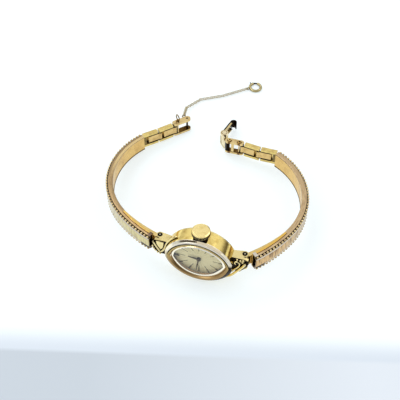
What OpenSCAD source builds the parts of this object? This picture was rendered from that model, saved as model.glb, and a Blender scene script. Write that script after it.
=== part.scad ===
// Cocktail watch on an open expanding bracelet, lying on its edge with the crown up.
// The bracelet plan is drawn flat in X and Y with the crown direction as Z,
// and set_down() then leans the whole watch onto its case edge and its two clasp ends.

/* [Case] */
// Tip to tip length of the pointed oval case, before the tips are cut
case_l = 18.6; // [17.8:0.1:20]
// Width of the case from the crown side to the nine o'clock side
case_w = 15.8; // [15:0.1:17]
// Depth of the case wall from the back rim to the front rim
case_depth = 4.4; // [4:0.1:5]
// Wall of the case round the movement
case_wall = 1.1; // [0.9:0.05:1.3]
// Length cut from each tip for the lug seat
tip_cut = 0.3; // [0.2:0.05:0.4]
// Height that the case back stands out behind the rim
back_h = 1.3; // [1:0.1:1.8]
// Width of the rim round the crystal at the tips of the case
bezel_tip = 1.8; // [1.6:0.05:2.3]
// Width of the rim round the crystal beside the crown
bezel_side = 2.1; // [1.9:0.05:2.4]
// Rise of the crystal above the bezel seat
crystal_rise = 1.2; // [1:0.1:1.6]

/* [Crown] */
// Diameter of the crown over the knurl
crown_d = 4.9; // [4:0.1:5]
// Height of the crown
crown_h = 1.6; // [1.5:0.1:2]
// Number of teeth in the knurl
crown_teeth = 40; // [24:2:48]
// Diameter of the winding stem
stem_d = 0.6; // [0.5:0.05:0.7]
// Travel of the crown when it is pulled to set the hands
crown_pull = 0.7; // [0.4:0.05:0.8]

/* [Hands] */
// Length of the minute hand from its centre
minute_l = 4.3; // [3.6:0.1:4.8]
// Length of the hour hand from its centre
hour_l = 2.9; // [2.2:0.1:3.2]

/* [Bracelet] */
// Distance of each lug bar from the tip of the case
lug_out = 2.2; // [2:0.1:2.7]
// Diameter of the lug bars
bar_d = 0.85; // [0.7:0.05:0.95]
// Width of each band
band_w = 5; // [4.6:0.1:5.4]
// Thickness of each band
band_t = 2; // [1.8:0.05:2.2]
// Sheet thickness of the band shell
band_wall = 0.35; // [0.25:0.05:0.4]
// Radius of the band beside the case
bend_1 = 38.5; // [36:0.5:42]
// Radius of the band round the wrist
bend_2 = 22.4; // [21.5:0.1:23.5]
// Pitch of the beads along the band edges
bead_pitch = 1.05; // [0.9:0.05:1.3]
// Length of the hook leaf inside each band
leaf_l = 13.5; // [11:0.5:15]
// Distance from hinge to hinge of a link
link_pitch = 5.2; // [5:0.1:5.6]
// Width of a link
link_w = 4.5; // [4.4:0.1:4.8]
// Thickness of a link
link_t = 1.3; // [1.2:0.05:1.5]
// Diameter of the hinge pins in the links
pin_d = 0.5; // [0.45:0.05:0.6]

/* [Clasp] */
// Length of the receiver from its hinge to its open end
receiver_l = 5.6; // [5.3:0.1:6]
// Distance from hinge to hinge of the clasp frame
clasp_frame_l = 4.4; // [4.2:0.1:4.8]
// Distance from hinge to hinge of the clasp cover
clasp_cover_l = 3.7; // [3.6:0.1:4]
// Length of the hook arm from its hinge to the bend of the hook
hook_l = 6.5; // [6.2:0.1:7.2]
// Diameter of the barrel hinge
barrel_d = 2.4; // [2.2:0.05:2.5]

/* [Safety chain] */
// Outer diameter of a chain link
chain_link_d = 1.16; // [1.1:0.02:1.24]
// Wire of the chain links
chain_wire = 0.26; // [0.22:0.01:0.28]
// Outer diameter of the spring ring
ring_d = 4.4; // [4:0.1:5]
// Tube diameter of the spring ring
ring_tube = 0.9; // [0.85:0.05:1]

/* [Hidden] */
$fn = 72;
gold = [0.86, 0.69, 0.42];
pale_gold = [0.88, 0.79, 0.58];
rose_gold = [0.85, 0.64, 0.43];
dark_gold = [0.45, 0.36, 0.24];
steel = [0.72, 0.72, 0.74];
brass = [0.80, 0.68, 0.40];

// Clearances
fit_gap = 0.03;
seat_gap = 0.05;
run_gap = 0.12;

// Where the case lies in the plan, and how far its long axis is turned
case_x = 0.1;
case_y = -19.5;
case_turn = -16.5;
// The lug bars lie this far behind the middle of the case wall
bar_back = 1.5;
// Headings of the two bands at their lug bars
left_heading = 143.5;
right_heading = 30;
// Headings of the links, the receiver and the clasp pieces in the plan
left_headings = [28, 31, 30];
right_headings = [162, 154.5, 163, 105.4, 60.5];

// Pointed oval: two arcs of one radius that cross at the tips
function arc_of(a, b) = (a * a + b * b) / (2 * b);

case_a = case_l / 2;
case_b = case_w / 2;
face_x = case_a - tip_cut;
lug_reach = case_a + lug_out;
crystal_l = case_l - 2 * bezel_tip;
crystal_w = case_w - 2 * bezel_side;
front = case_depth / 2;
rim_bevel = 0.5;

module oval_disc(a, b, side, profile) {
    r = arc_of(a, b);
    translate([0, side * (r - b), 0])
        rotate_extrude($fn = 180)
            polygon(concat([[0, profile[0][1]]],
                           [for (p = profile) [r - p[0], p[1]]],
                           [[0, profile[len(profile) - 1][1]]]));
}

// Solid pointed oval whose edge follows profile, a list of [inset, height]
module oval_solid(a, b, cut, profile) {
    low = profile[0][1];
    high = profile[len(profile) - 1][1];
    intersection() {
        oval_disc(a, b, 1, profile);
        oval_disc(a, b, -1, profile);
        translate([-(a - cut), -b - 1, low])
            cube([2 * (a - cut), 2 * b + 2, high - low]);
    }
}

module oval_plate(a, b, cut, low, high) {
    oval_solid(a, b, cut, [[0, low], [0, high]]);
}

// Leans the flat plan onto the table
ridge_r = 0.36;
ribbon_low = case_b + 2 * ridge_r + seat_gap;
rest_span = 54;
rest_tilt = atan2(ribbon_low - link_w / 2, rest_span);
rest_x = -1.776;
rest_y = -14.072;
rest_z = 6.208;

module set_down() {
    translate([rest_x, rest_y, rest_z])
        rotate([-rest_tilt, 0, 0])
            children();
}

function set_point(p) = [
    p[0] + rest_x,
    p[1] * cos(rest_tilt) + p[2] * sin(rest_tilt) + rest_y,
    p[2] * cos(rest_tilt) - p[1] * sin(rest_tilt) + rest_z
];

// Face frame of the case: X along the long axis, Y to the crown, Z out of the dial
module on_case() {
    set_down()
        translate([case_x, case_y, 0])
            rotate([0, 0, case_turn])
                rotate([90, 0, 0])
                    children();
}

// Case
cavity_a = case_a - case_wall;
cavity_b = case_b - case_wall;
// Heights of the stack in the case, from the back to the crystal
back_in = -front + 0.35;
plate_top = 0.95;
plate_h = 0.95;
dial_h = 0.35;
dial_top = plate_top + seat_gap + dial_h;
bezel_low = front - 0.35;
bezel_top = front + 0.5;
crystal_seat = front - 0.2;
stem_z = 0.1;
stem_x = 0.2;

module case_middle() {
    color(gold) on_case() difference() {
        oval_solid(case_a, case_b, tip_cut, [
            [0.3, -front],
            [0, -front + 0.3],
            [0, front - 0.1],
            [rim_bevel, front + 0.2]
        ]);
        oval_plate(cavity_a, cavity_b, tip_cut, back_in - 0.4, front + 1);
        oval_plate(cavity_a - 0.5, cavity_b - 0.5, tip_cut, -front - 1, front);
        translate([stem_x, 0, stem_z])
            rotate([-90, 0, 0])
                cylinder(d = tube_d, h = case_b + 2, $fn = 48);
    }
}

module case_back() {
    rim_a = cavity_a - 0.5 - seat_gap;
    rim_b = cavity_b - 0.5 - seat_gap;
    color(gold) on_case() difference() {
        union() {
            oval_solid(case_a - 0.35, case_b - 0.35, tip_cut, [
                [1.9, -front - back_h],
                [0.8, -front - back_h * 0.75],
                [0, -front - 0.35],
                [0, -front]
            ]);
            oval_plate(rim_a, rim_b, tip_cut, -front - 0.01, back_in);
        }
        oval_solid(rim_a - 0.5, rim_b - 0.5, tip_cut, [
            [0.9, -front - back_h + 0.4],
            [0, -front - back_h * 0.5 + 0.4],
            [0, back_in + 1]
        ]);
    }
}

bezel_flare = 0.55;
module bezel() {
    a = cavity_a + 0.55;
    b = cavity_b + 0.55;
    color(gold) on_case() difference() {
        union() {
            oval_solid(a, b, tip_cut, [
                [0, front + 0.2],
                [0.1, front + 0.35],
                [0.45, bezel_top]
            ]);
            oval_plate(cavity_a - seat_gap, cavity_b - seat_gap, tip_cut, bezel_low, front + 0.3);
        }
        oval_solid(crystal_l / 2 + bezel_flare, crystal_w / 2 + bezel_flare, 0.05, [
            [bezel_flare, bezel_low - 1],
            [bezel_flare, crystal_seat],
            [0, bezel_top + 0.01]
        ]);
    }
}

module crystal() {
    r = 26;
    a = crystal_l / 2 - seat_gap;
    b = crystal_w / 2 - seat_gap;
    crest = crystal_seat + crystal_rise;
    color([0.85, 0.9, 0.92, 0.35]) on_case() difference() {
        intersection() {
            oval_plate(a, b, 0.05, bezel_low, crest);
            translate([0, 0, crest - r]) sphere(r = r, $fn = 240);
        }
        intersection() {
            oval_plate(a - 0.5, b - 0.5, 0.05, bezel_low - 1, crest);
            translate([0, 0, crest - 0.55 - r]) sphere(r = r, $fn = 240);
        }
    }
}

module dial() {
    color([0.78, 0.75, 0.6]) on_case() difference() {
        oval_plate(cavity_a - seat_gap, cavity_b - seat_gap, tip_cut, dial_top - dial_h, dial_top);
        translate([0, 0, dial_top - dial_h - 1]) cylinder(r = wheel_tube + 0.1, h = dial_h + 2, $fn = 48);
    }
}

// Applied batons, one for each hour, that point to the centre of the dial
baton_h = 0.18;
baton_w = 0.28;
module hour_batons() {
    a = crystal_l / 2 - 0.7;
    b = crystal_w / 2 - 0.6;
    color(brass) on_case()
        for (hour = [1:12]) {
            turn = 180 - 30 * hour;
            reach = 1 / sqrt(pow(cos(turn) / a, 2) + pow(sin(turn) / b, 2));
            long = hour % 3 == 0 ? 1.5 : 1.1;
            rotate([0, 0, turn])
                translate([reach - long, -baton_w / 2, dial_top])
                    cube([long, baton_w, baton_h]);
            if (hour == 12)
                rotate([0, 0, turn])
                    translate([reach - long, baton_w / 2 + 0.2, dial_top])
                        cube([long, baton_w, baton_h]);
        }
}

// Hands
post_r = 0.22;
wheel_tube = 0.45;
hand_t = 0.12;
hour_z = dial_top + baton_h + 0.1;
minute_z = hour_z + hand_t + 0.1;
minute_turn = 262;
hour_turn = 172;

module hand_blade(long, wide) {
    linear_extrude(hand_t)
        polygon([[0, -wide * 0.35], [long * 0.45, -wide / 2], [long, -0.05],
                 [long, 0.05], [long * 0.45, wide / 2], [0, wide * 0.35]]);
}

module minute_hand() {
    color(dark_gold) on_case() {
        translate([0, 0, minute_z]) {
            rotate([0, 0, minute_turn]) hand_blade(minute_l, 0.42);
            cylinder(r = 0.5, h = hand_t, $fn = 48);
        }
        translate([0, 0, plate_top - 0.6])
            cylinder(r = post_r, h = minute_z + hand_t + 0.68 - plate_top, $fn = 32);
    }
}

module hour_hand() {
    color(dark_gold) on_case() difference() {
        union() {
            translate([0, 0, hour_z]) {
                rotate([0, 0, hour_turn]) hand_blade(hour_l, 0.5);
                cylinder(r = 0.62, h = hand_t, $fn = 48);
            }
            translate([0, 0, plate_top + 0.05]) cylinder(r = wheel_tube, h = hour_z - plate_top, $fn = 48);
        }
        translate([0, 0, plate_top - 1]) cylinder(r = post_r + fit_gap, h = 4, $fn = 32);
    }
}

// Movement, closed in by the case back
plate_a = cavity_a - 0.15;
plate_b = cavity_b - 0.15;
bridge_top = plate_top - plate_h - 0.75;
bridge_h = 0.55;
barrel_r = 2.1;
barrel_x = -3.1;
barrel_y = 1.6;
balance_r = 1.8;
balance_x = 4.1;
balance_y = -1.6;
staff_r = 0.15;
arbor_r = 0.5;
pillars = [[-5.2, -2.6], [-0.9, -4.6], [-5.4, 3.6], [1.2, 5.0], [2.4, -4.4], [5.2, 2.6], [6.7, -1.2]];
wheels = [[0.2, 0.0, 1.5, -0.2], [2.6, 1.7, 1.15, -0.45]];

module movement_plate() {
    color(brass) on_case() difference() {
        oval_plate(plate_a, plate_b, tip_cut + 0.1, plate_top - plate_h, plate_top);
        translate([0, 0, -1]) cylinder(r = post_r + fit_gap, h = 4, $fn = 32);
        translate([stem_x, plate_b - stem_in, stem_z])
            rotate([-90, 0, 0])
                cylinder(d = stem_d + 2 * fit_gap, h = stem_in + 2, $fn = 32);
        translate([balance_x, balance_y, plate_top - plate_h - 1])
            cylinder(r = staff_r + fit_gap, h = 1.5, $fn = 32);
    }
}

module bridge(low_x, high_x, low_y, high_y, chosen) {
    top = plate_top - plate_h;
    difference() {
        union() {
            intersection() {
                oval_plate(plate_a - 0.3, plate_b - 0.3, tip_cut + 0.1, bridge_top - bridge_h, bridge_top);
                translate([low_x, low_y, bridge_top - bridge_h])
                    cube([high_x - low_x, high_y - low_y, bridge_h]);
            }
            for (i = chosen)
                translate([pillars[i][0], pillars[i][1], bridge_top - 0.1])
                    cylinder(r = 0.45, h = top - bridge_top + 0.1, $fn = 32);
        }
        translate([barrel_x, barrel_y, bridge_top - bridge_h - 1])
            cylinder(r = arbor_r + fit_gap, h = 3, $fn = 32);
        for (w = concat(wheels, [[balance_x, balance_y]]))
            translate([w[0], w[1], bridge_top - bridge_h + 0.2])
                cylinder(r = staff_r + fit_gap, h = 2, $fn = 32);
    }
}

module barrel_bridge() {
    color(brass) on_case() bridge(-9, -0.95, -7, 7, [0, 1, 2]);
}

module train_bridge() {
    color(brass) on_case() bridge(-0.85, 9, 0.45, 7, [3, 5]);
}

module balance_cock() {
    color(brass) on_case() bridge(1.9, 9, -7, 0.35, [4, 6]);
}

module mainspring_barrel() {
    color(steel) on_case() translate([barrel_x, barrel_y, bridge_top + 0.08]) {
        cylinder(r = barrel_r, h = plate_top - plate_h - bridge_top - 0.16, $fn = 90);
        translate([0, 0, -bridge_h - 0.08]) cylinder(r = arbor_r, h = bridge_h + 0.2, $fn = 32);
    }
}

module train_wheel(w) {
    color(brass) on_case() translate([w[0], w[1], 0]) {
        translate([0, 0, w[3]]) cylinder(r = w[2], h = 0.16, $fn = 64);
        translate([0, 0, bridge_top - 0.25])
            cylinder(r = staff_r, h = plate_top - plate_h - bridge_top + 0.22, $fn = 32);
    }
}

module centre_wheel() { train_wheel(wheels[0]); }
module third_wheel() { train_wheel(wheels[1]); }

module balance_wheel() {
    color(steel) on_case() translate([balance_x, balance_y, 0]) {
        low = bridge_top + 0.25;
        difference() {
            translate([0, 0, low]) cylinder(r = balance_r, h = 0.25, $fn = 72);
            translate([0, 0, low - 1]) cylinder(r = balance_r - 0.3, h = 3, $fn = 72);
        }
        translate([-balance_r + 0.15, -0.14, low]) cube([2 * balance_r - 0.3, 0.28, 0.25]);
        translate([0, 0, bridge_top - 0.3])
            cylinder(r = staff_r, h = plate_top - plate_h - bridge_top + 0.5, $fn = 32);
    }
}

// Crown
tube_d = 1.5;
stem_in = 2.4;
crown_low = case_b + 0.5;
// How far the crown is bored for the tube, and how far the stem goes in
crown_bore = 0.85;
stem_up = crown_h - 0.35;

module pendant_tube() {
    color(gold) on_case() translate([stem_x, 0, stem_z]) rotate([-90, 0, 0]) difference() {
        translate([0, 0, cavity_b + 0.15])
            cylinder(d = tube_d, h = crown_low + crown_bore - cavity_b - 0.15 - run_gap, $fn = 48);
        translate([0, 0, cavity_b - 1]) cylinder(d = stem_d + 2 * fit_gap, h = 5, $fn = 32);
    }
}

module winding_stem() {
    color(steel) on_case() translate([stem_x, plate_b - stem_in + crown_pull + 0.1, stem_z])
        rotate([-90, 0, 0])
            cylinder(d = stem_d, h = crown_low + stem_up - plate_b + stem_in - crown_pull - 0.1, $fn = 32);
}

crown_cap = 0.42;
crown_tooth = 0.2;
module crown() {
    bore = tube_d / 2 + 0.1;
    r = crown_d / 2;
    color(pale_gold) on_case() translate([stem_x, crown_low, stem_z]) rotate([-90, 0, 0]) difference() {
        union() {
            intersection() {
                linear_extrude(crown_h - crown_cap)
                    polygon([for (i = [0:2 * crown_teeth - 1])
                        let (t = 180 * i / crown_teeth, q = i % 2 == 0 ? r : r - crown_tooth)
                            [q * cos(t), q * sin(t)]]);
                rotate_extrude($fn = 96)
                    polygon([[0, -0.1], [r - 0.4, -0.1], [r + 0.1, 0.4], [r + 0.1, crown_h], [0, crown_h]]);
            }
            rotate_extrude($fn = 96)
                polygon([[0, crown_h - crown_cap - 0.05], [r - 0.15, crown_h - crown_cap - 0.05],
                         [r - 0.08, crown_h - crown_cap + 0.03], [r - 0.08, crown_h - 0.2],
                         [r - 0.4, crown_h - 0.04], [0, crown_h]]);
        }
        translate([0, 0, -1]) cylinder(r = bore, h = 1 + crown_bore, $fn = 48);
        translate([0, 0, -1]) cylinder(d = stem_d + 2 * fit_gap, h = 1 + stem_up + seat_gap, $fn = 32);
    }
}

// Lugs
ear_r = bar_d / 2 + 0.53;
curl_w = band_w - 1.1;
ear_in = curl_w / 2 + run_gap;
ear_t = 0.55;
ear_out = ear_in + ear_t;
shield_low = -bar_back + ear_r + 0.2;
shield_top = shield_low + 0.8;

module lug(side, outline) {
    hub_x = side * lug_reach;
    difference() {
        union() {
            for (t = [0, 1]) mirror([0, t, 0]) {
                translate([hub_x, ear_in, -bar_back]) rotate([-90, 0, 0])
                    cylinder(r = ear_r, h = ear_t, $fn = 48);
                translate([0, ear_out, 0]) rotate([90, 0, 0]) linear_extrude(ear_t)
                    polygon([[side * (face_x - 1.4), -front + 0.35], [hub_x, -bar_back - ear_r],
                             [hub_x, -bar_back + ear_r], [hub_x - side * 0.6, shield_top],
                             [side * (face_x - 1.4), shield_top]]);
            }
            translate([side > 0 ? face_x - 1.4 : -hub_block, -ear_in - 0.01, -front + 0.35])
                cube([hub_block - face_x + 1.4, 2 * ear_in + 0.02, shield_top + front - 0.35]);
            translate([0, 0, shield_low]) linear_extrude(shield_top - shield_low) polygon(outline);
        }
        oval_plate(case_a, case_b, tip_cut, -front - 1, front + 1);
        translate([hub_x, -5, -bar_back]) rotate([-90, 0, 0])
            cylinder(d = bar_d + 2 * fit_gap, h = 10, $fn = 40);
    }
}

hub_block = lug_reach - ear_r - run_gap;

module left_lug() {
    color(pale_gold) on_case() lug(-1, [
        [-face_x + 1.4, 2.5], [-lug_reach - 0.9, 2.5], [-lug_reach - 1.5, 1.9], [-lug_reach - 1.6, 0.5],
        [-lug_reach - 1.2, -1.2], [-lug_reach - 0.3, -2.3], [-lug_reach + 0.8, -2.6], [-face_x + 1.4, -2.6]
    ]);
}

module right_lug() {
    color(pale_gold) on_case() lug(1, [
        [face_x - 1.4, -2.6], [lug_reach - 1, -2.6], [lug_reach + 0.1, -1.6], [lug_reach + 1, -0.2],
        [lug_reach + 1.5, 1.2], [lug_reach + 1.3, 2.3], [lug_reach + 0.6, 2.6], [face_x - 1.4, 2.6]
    ]);
}

module lug_bars() {
    color(steel) on_case() for (side = [-1, 1])
        translate([side * lug_reach, -ear_out - 0.08, -bar_back]) rotate([-90, 0, 0])
            cylinder(d = bar_d, h = 2 * ear_out + 0.16, $fn = 40);
}

// Smooth curve through chosen points, with a few steps between each pair
function curve(points, steps) =
    let (n = len(points))
        concat([for (i = [0:n - 2]) for (k = [0:steps - 1])
            let (t = k / steps,
                 p0 = points[max(i - 1, 0)], p1 = points[i],
                 p2 = points[i + 1], p3 = points[min(i + 2, n - 1)])
                0.5 * (2 * p1 + (p2 - p0) * t + (2 * p0 - 5 * p1 + 4 * p2 - p3) * t * t
                    + (3 * p1 - p0 - 3 * p2 + p3) * t * t * t)],
            [points[n - 1]]);

// Round wire along a flat path, with narrow ends
module wire(path, r) {
    n = len(path);
    sides = 8;
    points = [for (i = [0:n - 1])
        let (d = path[min(i + 1, n - 1)] - path[max(i - 1, 0)],
             t = d / norm(d),
             q = i == 0 || i == n - 1 ? r * 0.55 : r)
            for (k = [0:sides - 1])
                let (w = 360 * (k + 0.5) / sides)
                    [path[i][0] - q * cos(w) * t[1], path[i][1] + q * cos(w) * t[0], r + q * sin(w)]];
    walls = [for (i = [0:n - 2]) for (k = [0:sides - 1])
        let (a = i * sides + k, b = i * sides + (k + 1) % sides)
            each [[a, b, b + sides], [a, b + sides, a + sides]]];
    caps = [[for (k = [sides - 1:-1:0]) k], [for (k = [0:sides - 1]) (n - 1) * sides + k]];
    polyhedron(points = points, faces = concat(caps, walls));
}

// Point beside the wall of the case, at an angle from the long axis
function beside_case(side_x, side_y, turn, off) =
    let (r = arc_of(case_a, case_b))
        [side_x * (r + off) * cos(turn), side_y * ((r + off) * sin(turn) - r + case_b)];

scroll_r = 0.24;
vee_r = 0.28;

// Ribbon that leaves the lower edge of the case and sweeps up over the right lug
module right_ribbon() {
    beside = [for (turn = [106:-8:58]) beside_case(1, -1, turn, ridge_r + seat_gap)];
    tail = [[lug_reach - 3.2, -4.75], [lug_reach - 2, -3.2], [lug_reach - 0.9, -1.5],
            [lug_reach + 0.1, 0.1], [lug_reach + 0.7, 1.5]];
    color(pale_gold) on_case() translate([0, 0, shield_top])
        wire(curve(concat(beside, tail), 3), ridge_r);
}

// Spiral curl between the ribbon and the case
module scroll() {
    x = lug_reach;
    color(pale_gold) on_case() translate([0, 0, shield_top])
        wire(curve([[x - 2.75, -3.0], [x - 2.2, -2.0], [x - 1.5, -1.1], [x - 0.95, -0.2],
                    [x - 0.8, 0.8], [x - 1.3, 1.5], [x - 1.95, 1.35], [x - 2.1, 0.75],
                    [x - 1.7, 0.4]], 4), scroll_r);
}

// Two-legged ribbon round the heart shaped plate, with one leg up the end of the case
module left_ribbon() {
    vee = [[-lug_reach - 1.2, 2.1], [-lug_reach - 0.7, 0.9], [-lug_reach, -0.4],
           [-lug_reach + 0.7, -1.5], [-face_x - 0.95, -0.6], [-face_x - 0.45, 0.8]];
    climb = [for (turn = [24:7:52]) beside_case(-1, 1, turn, vee_r + seat_gap)];
    color(pale_gold) on_case() translate([0, 0, shield_top])
        wire(curve(concat(vee, climb), 3), vee_r);
}

module heart_plate() {
    color(pale_gold) on_case() translate([0, 0, shield_top]) linear_extrude(0.35)
        polygon([[-lug_reach - 0.35, 2.3], [-lug_reach - 0.2, 1.2], [-lug_reach + 0.35, 0.1],
                 [-lug_reach + 0.8, -0.6], [-face_x - 1.15, 0.1], [-face_x - 0.9, 1.2],
                 [-face_x - 0.8, 2.3]]);
}

bead_r = 0.3;
module left_lug_beads() {
    color(pale_gold) on_case()
        for (p = [[-1.35, 0.2], [-1.15, -0.6], [-0.7, -1.3], [-0.1, -1.95], [0.6, -2.25]])
            translate([-lug_reach + p[0], p[1], shield_top + bead_r]) sphere(r = bead_r, $fn = 24);
}

module right_lug_beads() {
    color(pale_gold) on_case()
        for (p = [[-1.5, 2.35], [-0.6, 2.15], [-0.05, 1.75], [0.1, 2.37]])
            translate([lug_reach + p[0], p[1], shield_top + bead_r]) sphere(r = bead_r, $fn = 24);
}

// Bands
band_gap = 1.7;
band_out = 1.65;
bends = [bend_1, bend_2];
sweeps = [19.5, 85];
link_gap = 0.85;

// Place and heading where each bend of a band starts, then where the band ends
function bend_at(i) = i == 0 ? [band_gap, band_out, 0] :
    let (s = bend_at(i - 1), r = bends[i - 1], h = s[2] - sweeps[i - 1])
        [s[0] + r * (sin(s[2]) - sin(h)), s[1] - r * (cos(s[2]) - cos(h)), h];

band_end = bend_at(len(bends));

function lug_point(side) = [
    case_x + side * lug_reach * cos(case_turn) - bar_back * sin(case_turn),
    case_y + side * lug_reach * sin(case_turn) + bar_back * cos(case_turn)
];

function step_to(p, heading, long) = [p[0] + long * cos(heading), p[1] + long * sin(heading)];

// Hinge points along each side of the bracelet
function band_tip(side) =
    let (h = side < 0 ? left_heading : right_heading, p = lug_point(side),
         x = band_end[0] + link_gap * cos(band_end[2]),
         y = -side * (band_end[1] + link_gap * sin(band_end[2])))
        [p[0] + x * cos(h) - y * sin(h), p[1] + x * sin(h) + y * cos(h)];

left_1 = band_tip(-1);
left_2 = step_to(left_1, left_headings[0], link_pitch);
left_3 = step_to(left_2, left_headings[1], link_pitch);
right_1 = band_tip(1);
right_2 = step_to(right_1, right_headings[0], link_pitch);
right_3 = step_to(right_2, right_headings[1], link_pitch);
right_4 = step_to(right_3, right_headings[2], clasp_frame_l);
right_5 = step_to(right_4, right_headings[3], clasp_cover_l);

// Frame of a bracelet piece: X to the next hinge, Y out from the wrist, Z to the crown
module on_plan(p, heading, side) {
    set_down()
        translate([p[0], p[1], 0])
            rotate([0, 0, heading])
                mirror([0, side > 0 ? 1 : 0, 0])
                    children();
}

module on_band(side) {
    on_plan(lug_point(side), side < 0 ? left_heading : right_heading, side) children();
}

module on_band_tip(side) {
    on_band(side)
        translate([band_end[0], band_end[1], 0])
            rotate([0, 0, band_end[2]])
                translate([link_gap, 0, 0])
                    children();
}

// Sweeps a section, drawn as distance outwards and height, along the band. Where one bend
// follows another, a strap with the second section lies in the sheet across a hairline joint.
module along_band() {
    for (i = [0:len(bends) - 1]) {
        s = bend_at(i);
        r = bends[i];
        h = s[2];
        translate([s[0] + r * sin(h), s[1] - r * cos(h), 0])
            rotate([0, 0, 90 + h - sweeps[i]])
                rotate_extrude(angle = sweeps[i] - (i > 0 ? 0.05 : 0), $fn = 180)
                    translate([r, 0])
                        children(0);
        if (i > 0)
            translate([s[0], s[1], 0])
                rotate([0, 0, h])
                    translate([-0.3, 0, 0])
                        rotate([90, 0, 90])
                            linear_extrude(0.6)
                                children(1);
    }
}

step_out = 0.55;
step_z = 0.62;
strap_in = 0.02;

function flip(points) = [for (i = [len(points) - 1:-1:0]) [points[i][0], -points[i][1]]];

// Folded sheet of the shell, thinned by e on both faces
module shell_section(e = 0) {
    t = band_t / 2 - e;
    w = band_w / 2 - e;
    s = band_wall - 2 * e;
    outer = [[-t, w], [t - step_out, w], [t - step_out, w - step_z], [t, w - step_z]];
    inner = [[-t, w - s], [t - step_out - s, w - s],
             [t - step_out - s, w - step_z - s], [t - s, w - step_z - s]];
    half = concat(outer, flip(outer));
    back = concat(inner, flip(inner));
    polygon(concat(half, [for (i = [len(back) - 1:-1:0]) back[i]]));
}

module band_shell(side) {
    color(rose_gold) on_band(side) along_band() {
        shell_section();
        shell_section(strap_in);
    }
}

module left_shell() { band_shell(-1); }
module right_shell() { band_shell(1); }

// Liner between the edges of the shell, on the wrist side
liner_t = 0.3;
module band_liner(side) {
    w = band_w / 2 - band_wall - fit_gap;
    e = strap_in;
    color(rose_gold) on_band(side) along_band() {
        translate([-band_t / 2 + 0.08, -w]) square([liner_t, 2 * w]);
        translate([-band_t / 2 + 0.08 + e, -w + e]) square([liner_t - 2 * e, 2 * (w - e)]);
    }
}

module left_liner() { band_liner(-1); }
module right_liner() { band_liner(1); }

// Milled bead wire along the two outer edges of a band: rings of a tube that swells and narrows
bead_big = 0.31;
bead_small = 0.17;
band_l = bends[0] * sweeps[0] * PI / 180 + bends[1] * sweeps[1] * PI / 180;
bead_count = floor((band_l - 0.2) / bead_pitch);

function band_spot(d, i = 0) =
    let (s = bend_at(i), long = bends[i] * sweeps[i] * PI / 180)
        d > long && i < len(bends) - 1 ? band_spot(d - long, i + 1) :
        let (h = s[2] - d / bends[i] * 180 / PI, r = bends[i])
            [s[0] + r * (sin(s[2]) - sin(h)), s[1] - r * (cos(s[2]) - cos(h)), h];

module bead_wire(out, z) {
    rings = [for (i = [0:2 * bead_count])
        let (s = band_spot(0.1 + i * bead_pitch / 2), r = i % 2 == 0 ? bead_small : bead_big)
            [for (k = [0:5])
                let (o = out + r * cos(60 * k))
                    [s[0] - o * sin(s[2]), s[1] + o * cos(s[2]), z + r * sin(60 * k)]]];
    n = len(rings);
    points = [for (ring = rings) for (p = ring) p];
    walls = [for (i = [0:n - 2]) for (k = [0:5])
        each [[i * 6 + k, i * 6 + (k + 1) % 6, (i + 1) * 6 + (k + 1) % 6],
              [i * 6 + k, (i + 1) * 6 + (k + 1) % 6, (i + 1) * 6 + k]]];
    caps = [[5, 4, 3, 2, 1, 0], [for (k = [0:5]) (n - 1) * 6 + k]];
    polyhedron(points = points, faces = concat(caps, walls));
}

module band_beading(side) {
    out = band_t / 2 - step_out + bead_big + fit_gap;
    z = band_w / 2 - step_z + bead_big + fit_gap;
    color(rose_gold) on_band(side) {
        bead_wire(out, z);
        bead_wire(out, -z);
    }
}

module left_beading() { band_beading(-1); }
module right_beading() { band_beading(1); }

// Tapered leaf inside the band that curls round the lug bar
leaf_t = 1.15;
leaf_tip = 0.3;
module band_leaf(side) {
    steps = 12;
    face = band_out - band_t / 2 - seat_gap;
    base = [for (i = [0:steps])
        let (d = i / steps * (leaf_l - band_gap), s = band_spot(d))
            [s[0] + (band_t / 2 + seat_gap) * sin(s[2]), s[1] - (band_t / 2 + seat_gap) * cos(s[2])]];
    crest = [for (i = [steps:-1:0])
        let (d = i / steps * (leaf_l - band_gap), s = band_spot(d),
             q = band_t / 2 + seat_gap + leaf_t + (leaf_tip - leaf_t) * pow(i / steps, 1.3))
            [s[0] + q * sin(s[2]), s[1] - q * cos(s[2])]];
    color(gold) on_band(side) difference() {
        union() {
            translate([0, 0, -curl_w / 2 + 0.25]) linear_extrude(curl_w - 0.5)
                polygon(concat([[0, face]], base, crest, [[0, face - leaf_t]]));
            translate([0, 0, -curl_w / 2]) cylinder(r = ear_r, h = curl_w, $fn = 48);
        }
        translate([0, 0, -5]) cylinder(d = bar_d + 2 * fit_gap, h = 10, $fn = 40);
    }
}

module left_leaf() { band_leaf(-1); }
module right_leaf() { band_leaf(1); }

// Links
rail_t = 0.75;
knuckle_r = pin_d / 2 + 0.3;
knuckle_w = link_w - 2 * rail_t - 2 * run_gap;
// A link sits a little outwards of its hinge pins
link_out = 0.2;
link_in_y = link_out - link_t / 2;
link_out_y = link_out + link_t / 2;
// The rails start this far behind the hinge pin and end this far before the next one
rail_lead = 0.5;
rail_end = link_pitch - rail_lead - 0.4;
plate_start = knuckle_r + 0.15;
outer_t = 0.35;

// Hinge tube that sits between the rails of the next piece
module knuckle() {
    translate([0, 0, -knuckle_w / 2]) cylinder(r = knuckle_r, h = knuckle_w, $fn = 40);
}

module pin_hole(d = pin_d) {
    translate([0, 0, -6]) cylinder(d = d + 2 * fit_gap, h = 12, $fn = 32);
}

// Pin that turns in a knuckle and is held by the rails on both sides
module hinge_pin(d = pin_d) {
    translate([0, 0, -link_w / 2 + 0.05]) cylinder(d = d, h = link_w - 0.1, $fn = 32);
}

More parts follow.
